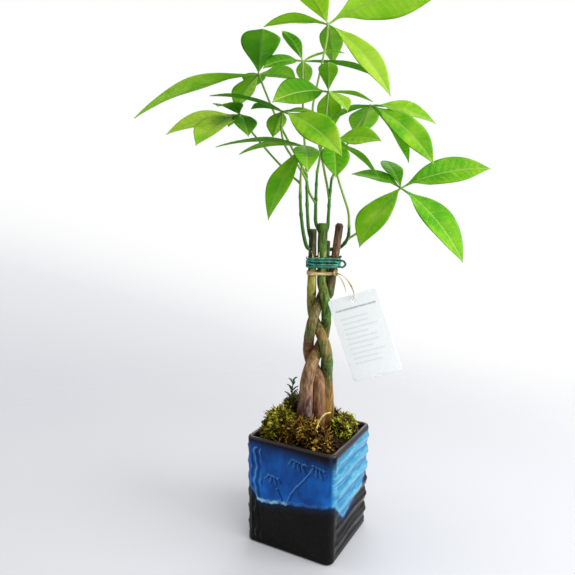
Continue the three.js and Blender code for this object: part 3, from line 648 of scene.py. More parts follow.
# The braid is narrow from the tie up, and widens from there down to the swollen feet.
TIE_HEIGHT, NARROW, WIDENING, WIDENING_REACH = 270, 8.3, 6.4, 140
STEM_FOOT, SOIL_LINE, SWELLING_TOP = 62, 104, 134
STEM_SIDES, STEM_ROWS, SCAR_PITCH = 28, 150, 31
STEMS = [
    # name, phase, top, radius at the top
    ("stem_green", math.pi / 2, 334, 4.8),
    ("stem_left", math.pi / 2 + 2 * math.pi / 3, 328, 3.8),
    ("stem_back", math.pi / 2 - 2 * math.pi / 3, 316, 4.2),
]
BARKS = {
    # name: slot, material, colours by height
    "stem_green": ("green_bark", "green bark", [
        (105, "#2c1d17"), (128, "#402a20"), (148, "#64463a"), (166, "#8e6e54"),
        (184, "#8a6a46"), (198, "#7c6434"), (213, "#6e6430"), (226, "#647030"),
        (240, "#43801f"), (268, "#5f7420"), (290, "#4f7a2c"), (334, "#44701f"),
    ]),
    "stem_left": ("bark", "yellow-olive bark", [
        (105, "#6e4a20"), (135, "#8f6a2a"), (158, "#7a5a24"), (170, "#5a5c26"),
        (184, "#3f7230"), (200, "#5f7030"), (212, "#8a6a34"), (228, "#5d562a"),
        (248, "#7f8434"), (272, "#a2a044"), (292, "#3c3a20"), (334, "#333f1e"),
    ]),
    "stem_back": ("bark", "brown bark", [
        (105, "#4c3226"), (140, "#744c34"), (165, "#84603e"), (185, "#80543a"),
        (205, "#7a4f38"), (214, "#6e5a32"), (222, "#546a2c"), (230, "#6c6236"),
        (246, "#6e6238"), (270, "#4a4a22"), (334, "#4c6a2c"),
    ]),
}


def planted(points):
    """Points given as (across the braid, toward its front, up), turned to stand in the pot."""
    across, toward, up = np.asarray(points, float).T
    cos, sin = math.cos(PLANT_TURN), math.sin(PLANT_TURN)
    return np.column_stack([across * cos + toward * sin, across * sin - toward * cos, up])


def braid_height(height):
    """The height that sets a stem's place in the braid: it eases to a stop below the braid and above it."""
    foot, first = BRAID_BEGINS
    last, head = BRAID_SETTLES
    if height < first:
        return (foot + first) / 2 + max(height - foot, 0) ** 2 / (2 * (first - foot))
    if height <= last:
        return height
    past = min(height, head) - last
    return last + past - past**2 / (2 * (head - last))


def braid_width(height):
    """How far a stem swings to each side of the braid's middle."""
    below_tie = TIE_HEIGHT - min(height, TIE_HEIGHT)
    return NARROW + WIDENING * (below_tie / WIDENING_REACH) ** 1.5


def stem_place(phase, height):
    """Where a stem's middle is at a height, as (across, toward, up)."""
    turn = 2 * math.pi * (braid_height(height) - BRAID_PHASE_HEIGHT) / BRAID_PITCH + phase
    width = braid_width(height)
    across = BRAID_CENTRE + width * (math.sin(turn) + 0.08 * math.sin(3 * turn))
    return across, -0.85 * width * math.sin(2 * turn), height


def stem_radius(height, top_radius):
    """A stem's radius: it fills its share of the braid, thins in the soil, and is even above the tie."""
    swollen = 0.56 * braid_width(max(height, SWELLING_TOP))
    out_of_soil = min(max((height - SOIL_LINE) / (SWELLING_TOP - SOIL_LINE), 0), 1)
    share = eased(height, TIE_HEIGHT, TIE_HEIGHT + 30)
    return swollen * (0.66 + 0.34 * out_of_soil) * (1 - share) + top_radius * share


def curve_through(knots, steps):
    """Evenly spread points on a smooth curve through the knots."""
    knots = np.asarray(knots, float)
    gaps = np.sqrt(np.linalg.norm(np.diff(knots, axis=0), axis=1))
    times = np.concatenate([[0], np.cumsum(gaps)])
    slopes = np.gradient(knots, times, axis=0)
    fine = np.linspace(0, times[-1], 24 * len(knots))
    at = np.clip(np.searchsorted(times, fine, "right") - 1, 0, len(knots) - 2)
    span = (times[at + 1] - times[at])[:, None]
    t = ((fine - times[at])[:, None]) / span
    curve = (
        (2 * t**3 - 3 * t**2 + 1) * knots[at]
        + (t**3 - 2 * t**2 + t) * span * slopes[at]
        + (3 * t**2 - 2 * t**3) * knots[at + 1]
        + (t**3 - t**2) * span * slopes[at + 1]
    )
    run = np.concatenate([[0], np.cumsum(np.linalg.norm(np.diff(curve, axis=0), axis=1))])
    even = np.linspace(0, run[-1], steps + 1)
    return np.column_stack([np.interp(even, run, curve[:, i]) for i in range(3)])


def headings(path):
    """The unit direction of a path at each of its points."""
    ahead = np.gradient(path, axis=0)
    return ahead / np.linalg.norm(ahead, axis=1, keepdims=True)


def tube(path, radii, sides, stand=None):
    """A closed round tube on a path: points, faces and share along. stand adds to the radius."""
    ahead = headings(path)
    side = np.cross(ahead[0], (0, 0, 1) if abs(ahead[0][2]) < 0.9 else (1, 0, 0))
    rows = []
    turn = np.arange(sides) * 2 * math.pi / sides
    radii = np.broadcast_to(radii, (len(path),))
    for i, centre in enumerate(path):
        side = side - ahead[i] * np.dot(side, ahead[i])
        side /= np.linalg.norm(side)
        other = np.cross(ahead[i], side)
        reach = radii[i] + (stand[i] if stand is not None else 0) * np.ones(sides)
        ways = np.cos(turn)[:, None] * side + np.sin(turn)[:, None] * other
        rows.append(centre + reach[:, None] * ways)
    along = np.repeat(np.linspace(0, 1, len(path)), sides)
    return np.concatenate(rows), ring_faces(len(path), sides), along


def bark(name, colours):
    """Thin dull bark whose colour runs through colours, (height in mm, sRGB hex), and wanders up and down.

    Furrows are dark, flecks and worn streaks pale, and a cut end shows its wood.
    """
    made = new_material(name)
    spot = add(made, "TexCoord", output="Object")
    up = add(made, "SeparateXYZ", [spot], output="Z")
    scar, cut = measured(made, "scar", "cut")
    broad = speckle(made, spot, 12, 3, stretch=(1, 1, 2.5))
    fine = speckle(made, spot, 2.2, 5, stretch=(1, 1, 5))
    flecks = speckle(made, spot, 1.2, 3)
    wander = 60 * MM
    wandering = add(made, "Math", [broad, wander, up], operation="MULTIPLY_ADD")
    low, high = colours[0][0], colours[-1][0]
    age = add(made, "MapRange", [wandering, low * MM + wander / 2, high * MM + wander / 2])
    by_height = [((height - low) / (high - low), colour) for height, colour in colours]
    colour = add(made, "ValToRGB", [age], by_height)
    colour = tinged(made, colour, "#20140e", fine, 0.45, 0.66, 0.75)
    colour = tinged(made, colour, "#5a3c2c", broad, 0.52, 0.68, 0.4)
    colour = tinged(made, colour, "#b09a6a", fine, 0.46, 0.36, 0.35)
    colour = tinged(made, colour, "#b3986c", flecks, 0.6, 0.72, 0.3)
    colour = tinged(made, colour, "#33241a", scar, 0.3, 1, 0.3)
    wood = add(made, "ValToRGB", [speckle(made, spot, 1.2, 4)], [(0.3, "#4a3220"), (0.7, "#8d7048")])
    colour = add(made, "Mix", [cut, colour, wood], data_type="RGBA")
    wear = add(made, "MapRange", [flecks, 0.3, 0.7, 0.42, 0.66], **EASED)
    add(made, "OutputMaterial", [surface(made, colour, wear, fine, 0.9, 0.8, Specular_IOR_Level=0.25)])
    return made


def bark_stand(path, radii, sides, seed, scar_pitch):
    """Bark relief, one row a ring: long ridges, low swellings and a raised leaf scar at each old node."""
    turn = np.arange(sides) * 2 * math.pi / sides
    stand, scars = [], []
    for centre, radius in zip(path, radii):
        ring = centre + radius * np.column_stack([np.cos(turn), np.sin(turn), 0 * turn])
        ridges = lumps(ring * (1, 1, 0.2), 2.6, seed)
        swell = lumps(ring, 13, seed + 5)
        node = centre[2] / scar_pitch + 0.06 * np.sin(turn + seed)
        scar = np.exp(-(((node % 1) - 0.5) * scar_pitch / 1.1) ** 2)
        stand.append(0.3 * ridges + 0.5 * swell + 0.14 * scar)
        scars.append(scar)
    return np.array(stand), np.array(scars)


def cut_ends(path, radii, bevel):
    """Adds three rings that draw in, so that the end is cut level with a worn edge."""
    ahead = (path[-1] - path[-2]) / np.linalg.norm(path[-1] - path[-2])
    ends = [path[-1] + ahead * bevel * reach for reach in (0.6, 1, 0.8)]
    return np.concatenate([path, ends]), np.concatenate([radii, radii[-1] * np.array([0.93, 0.78, 0.3])])


for number, (name, phase, top, top_radius) in enumerate(STEMS):
    heights = np.linspace(STEM_FOOT, top - 1, STEM_ROWS)
    path = planted([stem_place(phase, height) for height in heights])
    radii = np.array([stem_radius(height, top_radius) for height in heights])
    path, radii = cut_ends(path, radii, 1)
    stand, scars = bark_stand(path, radii, STEM_SIDES, 3.7 * number, SCAR_PITCH)
    stand[STEM_ROWS:] *= 0.3
    points, faces, _ = tube(path, radii, STEM_SIDES, stand)
    cut = np.repeat(np.arange(len(path)) >= STEM_ROWS, STEM_SIDES)
    slot, finish, colours = BARKS[name]
    numbers = {"scar": scars.ravel(), "cut": cut}
    piece(name + "_bark", points, faces, bark(finish, colours), slot, replaced=[name], numbers=numbers)


# ---------- root flare ----------
# A short surface root that left the middle stem above the moss and grew down into the pot, grey and rough.
# It is slim where it leaves the stem, and swells toward the soil.
FLARE = [(-1.5, 12, 161), (-2.2, 15, 150), (-3.0, 17, 140), (-3.6, 18, 128), (-3.8, 18.5, 114)]
FLARE_HEAD_RADIUS, FLARE_SWELL, FLARE_SIDES = 0.9, 4.6, 20

path = curve_through(planted(FLARE), 40)
radii = FLARE_HEAD_RADIUS + FLARE_SWELL * eased(np.linspace(0, 1, len(path)), 0, 0.75)
stand, _ = bark_stand(path, radii, FLARE_SIDES, 31, 90)
points, faces, along = tube(path, radii, FLARE_SIDES, stand)
grey_bark = bark("grey root bark", [(100, "#33262a"), (128, "#4c3a40"), (146, "#5f4a4c"), (165, "#4a3a2e")])
piece("root_flare", points, faces, grey_bark, "bark", numbers={"scar": 0 * along, "cut": 0 * along})


# ---------- cut cane ----------
# A short offcut of an older stem, brown and weathered, its ends worn round. It is bound in with the tops as a
# peg, and the ties alone hold it.
CANE_FOOT, CANE_HEAD, CANE_RADIUS, CANE_SIDES = (17, 0, 257), (25, 6, 334), 4, 24

path = curve_through(planted([CANE_FOOT, np.add(CANE_FOOT, CANE_HEAD) / 2, CANE_HEAD]), 60)
share = np.linspace(0, 1, len(path))
radii = CANE_RADIUS * (0.55 + 0.45 * eased(share, 0, 0.05)) * (1 - 0.35 * eased(share, 0.965, 1))
stand, scars = bark_stand(path, radii, CANE_SIDES, 21, 38)
points, faces, along = tube(path, radii, CANE_SIDES, stand)
cane_bark = bark("weathered cane", [(255, "#4a5a2c"), (285, "#6a5038"), (315, "#7a5a48"), (334, "#4a342a")])
numbers = {"scar": scars.ravel(), "cut": along > 0.985}
piece("cut_cane_bark", points, faces, cane_bark, "bark", replaced=["cut_cane"], numbers=numbers)


# ---------- wire tie ----------
# Plastic-coated garden wire in a bright teal, wound four times round the tops. It is pulled taut, and ends in
# a loop at the right.
WIRE_RADIUS, LOOP_RADIUS, WIRE_SIDES = 1.2, 1.1, 12
WIRE_FROM, WIRE_TO, WIRE_TURNS = 289.5, 300, 4
WIRE_LOOP = [(24.8, 7, 295.5), (29.2, 8.5, 296.5), (31.7, 8.5, 293), (28.7, 8.5, 290), (24.7, 7.5, 292)]


def bundle(height):
    """What the ties go round at a height, as (across, toward, radius): the three stems and the cane."""
    share = (height - CANE_FOOT[2]) / (CANE_HEAD[2] - CANE_FOOT[2])
    cane = [foot + (head - foot) * share for foot, head in zip(CANE_FOOT, CANE_HEAD)]
    stems = [(*stem_place(phase, height)[:2], stem_radius(height, top)) for _, phase, _, top in STEMS]
    return stems + [(cane[0], cane[1], CANE_RADIUS)]


def windings(low, high, turns, radius, start, per_turn=48):
    """The path of a cord pulled taut round the bundle, and a little uneven, before planting."""
    path = []
    for i in range(turns * per_turn + 1):
        height = low + (high - low) * i / (turns * per_turn)
        height += 0.5 * math.sin(2.3 * i / per_turn * 2 * math.pi + start)
        angle = start + 2 * math.pi * i / per_turn
        cos, sin = math.cos(angle), math.sin(angle)
        across, toward, reach = max(bundle(height), key=lambda one: one[0] * cos + one[1] * sin + one[2])
        off = reach + radius + 0.5
        path.append((across + off * cos, toward + off * sin, height))
    return np.array(path)


wound = curve_through(planted(windings(WIRE_FROM, WIRE_TO, WIRE_TURNS, WIRE_RADIUS, 0.3)), 420)
loop = curve_through(planted(WIRE_LOOP), 60)
points, faces = joined([tube(wound, WIRE_RADIUS, WIRE_SIDES), tube(loop, LOOP_RADIUS, WIRE_SIDES)])

# Smooth PVC over steel wire, so it shines more than anything round it; handling left it slightly uneven.
coated = new_material("teal plastic coated wire")
spot = add(coated, "TexCoord", output="Object")
shades = [(0.35, "#0a4a3a"), (0.55, "#137a66"), (0.75, "#3fa890")]
teal = add(coated, "ValToRGB", [speckle(coated, spot, 5, 2)], shades)
plastic = surface(coated, teal, 0.28, speckle(coated, spot, 1.2, 2), 0.25, 0.3, IOR=1.5, Coat_Weight=0.3)
add(coated, "OutputMaterial", [plastic])
piece("teal_wire", points, faces, coated, "wire", replaced=["wire_tie"])


# ---------- raffia tie ----------
# Two turns of split raffia palm below the wire, knotted at the right: one tail holds the card, one is loose.
# Raffia is a flat dry leaf strip that twists and frays.
KNOT, TAG_HOLE = (22.1, 8.6, 284), (39.3, 19, 258.7)
TO_TAG = [KNOT, (28.5, 10.5, 282), (35, 14.5, 276), (39.5, 23, 265.5), TAG_HOLE, (38.5, 15.5, 257)]
LOOSE_TAIL = [KNOT, (27, 9.5, 279), (31, 9.5, 272), (33, 8.5, 265)]
RAFFIA_WIDTH, RAFFIA_THICKNESS = 1.9, 0.5
RAFFIA_FROM, RAFFIA_TO, RAFFIA_TURNS = 282, 285.5, 2
# Frayed ends that stand up where the bow was tucked under the wire, as (across, toward, lean, top).
FRAYED_ENDS = [(-1, 8, -1.8, 306), (4.5, 12.5, 0, 305), (9.5, 12.5, 1.8, 306)]


def ribbon(path, width, thickness, twist=0.0, start=0.0):
    """A closed flat strip on a path, hollow along its middle: points and faces. twist is its turns in all."""
    ahead = headings(path)
    width = np.broadcast_to(width, (len(path),))
    section = [(-1, 0), (-0.6, 1), (0, 0.6), (0.6, 1), (1, 0), (0.6, -1), (0, -0.6), (-0.6, -1)]
    rows = []
    side = np.array((0.0, 0.0, 1.0))
    for i, centre in enumerate(path):
        side = side - ahead[i] * np.dot(side, ahead[i])
        side /= np.linalg.norm(side)
        other = np.cross(ahead[i], side)
        angle = start + 2 * math.pi * twist * i / len(path)
        broad = side * math.cos(angle) + other * math.sin(angle)
        thin = np.cross(broad, ahead[i])
        rows.append([centre + broad * a * width[i] / 2 + thin * b * thickness / 2 for a, b in section])
    return np.concatenate(rows), ring_faces(len(path), len(section))


def tapering(steps, first, last):
    """A strip's width at each point of a curve of that many steps."""
    return np.linspace(first, last, steps + 1)


taut = curve_through(planted(windings(RAFFIA_FROM, RAFFIA_TO, RAFFIA_TURNS, 0.5, 0.6)), 200)
knot_loop = [
    (KNOT[0] + 2.0 * math.cos(turn), KNOT[1] + 0.9 * math.cos(2 * turn), KNOT[2] + 2.2 * math.sin(turn))
    for turn in np.linspace(0, 2 * math.pi, 9)
]
parts = [
    ribbon(taut, RAFFIA_WIDTH, 0.6),
    ribbon(taut + (0, 0, 0.9), 1.2, RAFFIA_THICKNESS, 0.5),
    tube(curve_through(planted(knot_loop), 40), 0.9, 8),
    ribbon(curve_through(planted(TO_TAG), 80), tapering(80, RAFFIA_WIDTH, 1.3), RAFFIA_THICKNESS, 0.8, 0.4),
    ribbon(curve_through(planted(LOOSE_TAIL), 60), tapering(60, 1.8, 0.7), 0.45, 0.6, 0.9),
]
for number, (across, toward, lean, high) in enumerate(FRAYED_ENDS):
    foot, middle = (across, toward + 0.6, 299), (across + lean / 2, toward + 1, 303)
    frayed = curve_through(planted([foot, middle, (across + lean, toward + 1.8, high)]), 16)
    parts.append(ribbon(frayed, tapering(16, RAFFIA_WIDTH, 0.8), 0.4, 0.3, number))

# Dry split palm, straw pale and dull, with fibres that catch the light along its length.
raffia = new_material("split raffia")
spot = add(raffia, "TexCoord", output="Object")
fibre = speckle(raffia, spot, 0.9, 5, stretch=(5, 5, 1))
straw = add(raffia, "ValToRGB", [fibre], [(0.3, "#8a7344"), (0.52, "#c2aa72"), (0.75, "#eadcb0")])
add(raffia, "OutputMaterial", [surface(raffia, straw, 0.62, fibre, 0.6, 0.25)])
piece("raffia_bow", *joined(parts), raffia, "raffia", replaced=["raffia_tie"])


# ---------- card tag ----------
# A care card of smooth white board, die cut with round corners and a punched hole, printed with plain rules.
# It hangs on the raffia's tail by its hole, and bows a little.
TAG_WIDTH, TAG_HEIGHT, TAG_THICKNESS = 50.8, 88.9, 0.7
TAG_CORNER, TAG_PUNCH, TAG_HOLE_INSET = 3, 1.9, 5.5
TAG_PITCH, TAG_ROLL, TAG_YAW = math.radians(6), math.radians(-19), math.radians(-12)
RULE_PITCH, RULES_FROM, RULES_TO, HEAD_RULE = 5.4, 20, 74, 13.2
OUTLINE_STEP, CORNER_POINTS = 5, 7
BOW_ACROSS, BOW_UP = 0.45, 0.5


def card_outline(top, bottom):
    """Points round the card, with arcs at its corners and a point every few millimetres between them."""
    corners = []
    for quarter, (way, low_end) in enumerate([(1, False), (-1, False), (-1, True), (1, True)]):
        height = bottom + TAG_CORNER if low_end else top - TAG_CORNER
        middle = np.array((way * (TAG_WIDTH / 2 - TAG_CORNER), height))
        for angle in (quarter + np.linspace(0, 1, CORNER_POINTS)) * math.pi / 2:
            corners.append(middle + TAG_CORNER * np.array((math.cos(angle), math.sin(angle))))
    outline = []
    for here, after in zip(corners, corners[1:] + corners[:1]):
        steps = max(1, round(float(np.linalg.norm(after - here)) / OUTLINE_STEP))
        outline += [here + (after - here) * step / steps for step in range(steps)]
    return np.array(outline)


# The card hangs from its hole, which is at its own origin. Rings run from the hole out to the edge on the
# printed side and back on the other, and close on each other.
outline = card_outline(TAG_HOLE_INSET, TAG_HOLE_INSET - TAG_HEIGHT)
punched = TAG_PUNCH * outline / np.linalg.norm(outline, axis=1, keepdims=True)
shares = (0, 0.03, *np.linspace(0.1, 0.92, 11), 0.99, 1)
rows = [punched * (1 - share) + outline * share for share in shares]
across, up = np.moveaxis(np.array(rows), -1, 0)
bow = BOW_ACROSS * (across / 25) ** 2 + BOW_UP * ((up + 38) / 44) ** 2 - 0.4
front, back = (np.stack([across, bow + side * TAG_THICKNESS / 2, up], axis=-1) for side in (-1, 1))
card_rings = np.concatenate([front, back[::-1]])
card_points = card_rings.reshape(-1, 3)
spokes, last = len(outline), len(card_points) - len(outline)
card_faces = ring_faces(len(card_rings), spokes, closed_ends=False)
card_faces += [(last + i, last + (i + 1) % spokes, (i + 1) % spokes, i) for i in range(spokes)]
hang = (
    Matrix.Rotation(PLANT_TURN, 4, "Z")
    @ Matrix.Translation((TAG_HOLE[0], -TAG_HOLE[1], TAG_HOLE[2]))
    @ Matrix.Rotation(TAG_YAW, 4, "Z")
    @ Matrix.Rotation(TAG_PITCH, 4, "X")
    @ Matrix.Rotation(TAG_ROLL, 4, "Y")
)

# Coated white board with a low gloss. Its soft rules are each of their own length, under a darker head rule.
board = new_material("smooth white card board")
across, down, printed_side = measured(board, "across", "down", "printed")
spot = add(board, "TexCoord", output="Object")
line = add(board, "Math", [down, 1 / RULE_PITCH], operation="MULTIPLY")
in_line = add(board, "Math", [line], operation="FRACT")
end = add(board, "Math", [line], operation="FLOOR")
end = add(board, "Math", [end, 2.4], operation="MULTIPLY")
end = add(board, "Math", [end], operation="SINE")
end = add(board, "Math", [end, 6, 11], operation="MULTIPLY_ADD")
past_end = add(board, "Math", [across, end], operation="SUBTRACT")
ink_breaks = add(board, "MapRange", [speckle(board, spot, 4, 2), 0.35, 0.65, 0.35, 0.6], **EASED)
paper = add(board, "ValToRGB", [speckle(board, spot, 3, 4)], [(0.3, "#f1f8f9"), (0.7, "#fbffff")])
prints = [
    # ink, how much of it, limits as (value, none at, full at)
    ("#6f9aa0", 0.2, [
        (in_line, 0.42, 0.12),
        (past_end, 1, -1),
        (across, -19, -18),
        (down, RULES_FROM, RULES_FROM + 0.3),
        (down, RULES_TO + 0.3, RULES_TO),
    ]),
    ("#4a5a62", ink_breaks, [
        (away_from(board, down, HEAD_RULE), 1.3, 0.6),
        (away_from(board, across, 0), 21.5, 20.5),
    ]),
]
for ink, most, limits in prints:
    share = add(board, "Math", [printed_side, most], operation="MULTIPLY")
    for limit in limits:
        within = add(board, "MapRange", limit, **EASED)
        share = add(board, "Math", [share, within], operation="MULTIPLY")
    paper = add(board, "Mix", [share, paper, ink], data_type="RGBA")
add(board, "OutputMaterial", [surface(board, paper, 0.42, speckle(board, spot, 0.6, 3), 0.1, 0.1)])
piece(
    "care_card",
    [hang @ Vector(point) for point in card_points],
    [face[::-1] for face in card_faces],
    board,
    "card",
    replaced=["card_tag"],
    numbers={
        "across": card_points[:, 0],
        "down": TAG_HOLE_INSET - card_points[:, 2],
        "printed": np.repeat([1.0, 0.0], len(card_points) // 2),
    },
)


# ---------- shoots ----------
# Green shoots of the year, smooth and round, that left the stems below their cut tops. Each swells twice, at
# the scars of fallen leaves.
SHOOTS = [
    # name, radius at its foot and head, route as (across, toward, up)
    (
        "shoot_1", 2, 1.3,
        [(-3, 5, 307), (-7, 6.5, 309.5), (-10.5, 6, 320), (-14, 5, 344), (-15, 4, 362), (-15, 3, 374)],
    ),
    ("shoot_2", 1.9, 1.3, [(-2.5, 3, 316), (-5.5, 2.5, 325), (-7.5, 4, 345), (-8.5, 5, 366), (-9, 5, 382)]),
    ("shoot_3", 2, 1.2, [(5.5, 0, 325), (1.5, -3.5, 334), (1, -4, 345), (1, -4, 360), (1.5, -3, 385)]),
    ("shoot_4", 1.9, 1.3, [(9.5, 3, 320), (13, 2, 329), (13.8, 2, 341), (14.5, 2, 358), (16, 2, 378)]),
    (
        "shoot_5", 2.1, 1.4,
        [(13, -9, 306.5), (20, -9.5, 307), (27, -8, 309), (32, -6, 314), (35, -4, 321), (35.5, -3, 331)],
    ),
]
SHOOT_SIDES = 14


def green_rind(name, dark, light, low, high):
    """Smooth young rind with a faint sheen and fine upright lines, dark at low to light at high, in mm."""
    made = new_material(name)
    spot = add(made, "TexCoord", output="Object")
    up = add(made, "SeparateXYZ", [spot], output="Z")
    lines = speckle(made, spot, 1.4, 3, stretch=(1, 1, 8))
    colour = tinged(made, dark, light, up, low * MM, high * MM)
    colour = tinged(made, colour, "#1d4a14", lines, 0.5, 0.7, 0.35)
    add(made, "OutputMaterial", [surface(made, colour, 0.5, lines, 0.25, 0.2, Specular_IOR_Level=0.3)])
    return made


def swelling(share, at, reach):
    """1 at a share of a length, dying away within about reach of it."""
    return np.exp(-(((share - at) / reach) ** 2))


shoot_rind = green_rind("young green shoot rind", "#24561a", "#4f8f30", 300, 385)
for name, foot_radius, head_radius, route in SHOOTS:
    path = curve_through(planted(route), 70)
    share = np.linspace(0, 1, len(path))
    radii = foot_radius + (head_radius - foot_radius) * share
    radii = radii + 0.45 * swelling(share, 0.55, 0.03) + 0.35 * swelling(share, 0.8, 0.03)
    radii[-3:] *= (0.95, 0.75, 0.3)
    points, faces, _ = tube(path, radii, SHOOT_SIDES)
    piece(name + "_rind", points, faces, shoot_rind, "shoot", replaced=[name])


# ---------- leaves ----------
# Palmate leaves, each a thin stalk and four or five pointed leaflets that spread from its tip like fingers.
# A leaflet is thin and smooth, folded a little up from its pale midrib, and quilted between its side veins.
BLADE = 0.55
ARCH, FOLD = math.radians(28), math.radians(13)
VEIN_PITCH, VEIN_SLANT = 6.5, 0.55
QUILT, GROOVE, KEEL, FLUTTER = 0.22, 0.35, 0.75, 0.06
STALK_RADIUS, STALK_TAPER, STALK_SIDES = 1.25, 0.3, 12
# What the finish reads at each point, with the numbers that the stalk carries.
ON_STALK = {"along": 0, "across": 0, "own": 0.3, "half": 0, "upper": 1, "veins": 0}
LEAVES = [
    # name, finish, stalk with the hub last,
    # leaflets as (bearing, rise, length, width, turn to the front, paleness); paleness partly paints the
    # light and shade that falls on each leaflet
    (
        "leaf_top", "young",
        [
            (14.5, 2, 358), (11, 0, 375), (6.5, -4, 397), (1, -6, 421), (-4, -5, 445),
            (-1, 2, 464), (4, 13, 488), (8, 8, 510), (9, 0, 525),
        ],
        [
            (121, 11, 84, 38, 0, 1.1), (8, 13, 128, 50, -52, 0.6), (197, 0, 67, 26, -4, 0.6),
            (-83, -9, 104, 26, 0, 0.05), (34, -50, 102, 25, 40, 1.0),
        ],
    ),
    (
        "leaf_upper_left", "full",
        [(-9, 5, 381), (-26, 2, 411), (-41, 0, 439), (-50, 0, 459), (-58, 0, 478)],
        [
            (84, 5, 95, 36, 0, 0.15), (170, -24, 129, 36, -8, 0.95), (231, -37, 50, 26, 0, 0.84),
            (-47, 2, 55, 24, -20, 0.49), (-100, -2, 80, 26, 0, 0.06),
        ],
    ),
    (
        "leaf_middle", "full",
        [(1, -4, 354), (-6, -3, 365), (-11, 2, 406), (-14, 6, 449), (-15, 10, 488)],
        [
            (110, 9, 56, 15, 0, 0.27), (140, -20, 50, 18, 45, 0.06), (-41, 15, 60, 12, 0, 0.87),
            (-86, -15, 58, 17, 0, 0.9), (-23, -9, 100, 24, 10, 0.02),
        ],
    ),
    (
        "leaf_centre", "young",
        [(1.5, -3, 384), (5, 4, 406), (8, 9, 432), (10, 15, 459)],
        [
            (94, 3, 75, 18, 0, 0.0), (143, -18, 68, 30, 58, -0.3), (-84, -33, 60, 26, 0, 0.32),
            (-6, -13, 45, 13, 0, 0.32), (66, -35, 46, 20, 0, 0.7),
        ],
    ),
    (
        "leaf_front", "full",
        [(-8.8, 5.5, 376), (-18, 13, 390), (-30.3, 22.4, 407), (-34, 31, 420), (-33, 40, 436)],
        [
            (-4, -9, 38, 18, 20, 0.8), (38, -36, 80, 32, 42, 0.85), (163, 5, 68, 24, 10, -0.2),
            (215, 6, 38, 20, 0, -0.1), (-105, -28, 44, 20, 0, 0.93),
        ],
    ),
    (
        "leaf_left", "full",
        [(-15, 3, 373), (-30, -6, 386), (-50, -12, 407), (-68, -8, 428), (-76, 0, 439)],
        [
            (164, -20, 76, 23, 42, 1.4), (122, -32, 75, 36, 10, 1.1), (104, -5, 60, 28, 0, -0.2),
            (75, -32, 55, 24, 0, -0.1), (-110, -8, 50, 22, 0, 0.67),
        ],
    ),
    (
        "leaf_low_left", "full",
        [(-15, 4, 364), (-15, 14, 378), (-12, 25, 407)],
        [
            (130, -57, 87, 29, 0, 0.6), (88, -26, 73, 24, 0, 0.6), (162, -6, 86, 20, 0, -0.1),
            (210, -6, 77, 20, 0, 0.9), (255, -5, 16, 8, 0, 0.19),
        ],
    ),
    (
        "leaf_right", "full",
        [(16, 2, 377), (24, 2, 397), (38, 1, 426), (53, 0, 450)],
        [
            (10, -19, 66, 26, 40, 0.8), (42, -43, 94, 31, 35, 0.6), (-35, -45, 78, 30, 20, 0.7),
            (-92, -20, 78, 32, 0, 0.72), (200, -22, 45, 24, 0, 0.15),
        ],
    ),
    (
        "leaf_low_right", "full",
        [(35.5, -3, 330), (34, 0, 345), (28, 4, 362), (22, 9, 378), (17, 15, 398), (15, 20, 413)],
        [
            (87, -52, 49, 28, 0, 0.3), (-10, -38, 58, 20, 0, 0.55), (30, -6, 50, 24, 48, 0.5),
            (-80, -11, 60, 20, 0, 0.4),
        ],
    ),
    (
        "leaf_far_right", "full",
        [(34.6, -4.5, 318), (46, -1, 326), (64, 4, 345), (84, 10, 370)],
        [
            (0, 10, 90, 32, 58, 0.55), (32, -50, 96, 37, 30, 0.45), (144, -50, 79, 38, 10, 0.75),
            (218, 12, 60, 24, 25, 0.19), (-100, 26, 66, 22, 0, 0.16),
        ],
    ),
]


def turned_about(vector, axis, angle):
    """vector turned about a unit axis."""
    cos, sin = math.cos(angle), math.sin(angle)
    return vector * cos + np.cross(axis, vector) * sin + axis * np.dot(axis, vector) * (1 - cos)


def half_width(width, share):
    """Half a leaflet's width at a share of its length: it is widest just past its middle, and pointed."""
    return width / 2 * np.sin(math.pi * share**1.15).clip(0) ** 1.1


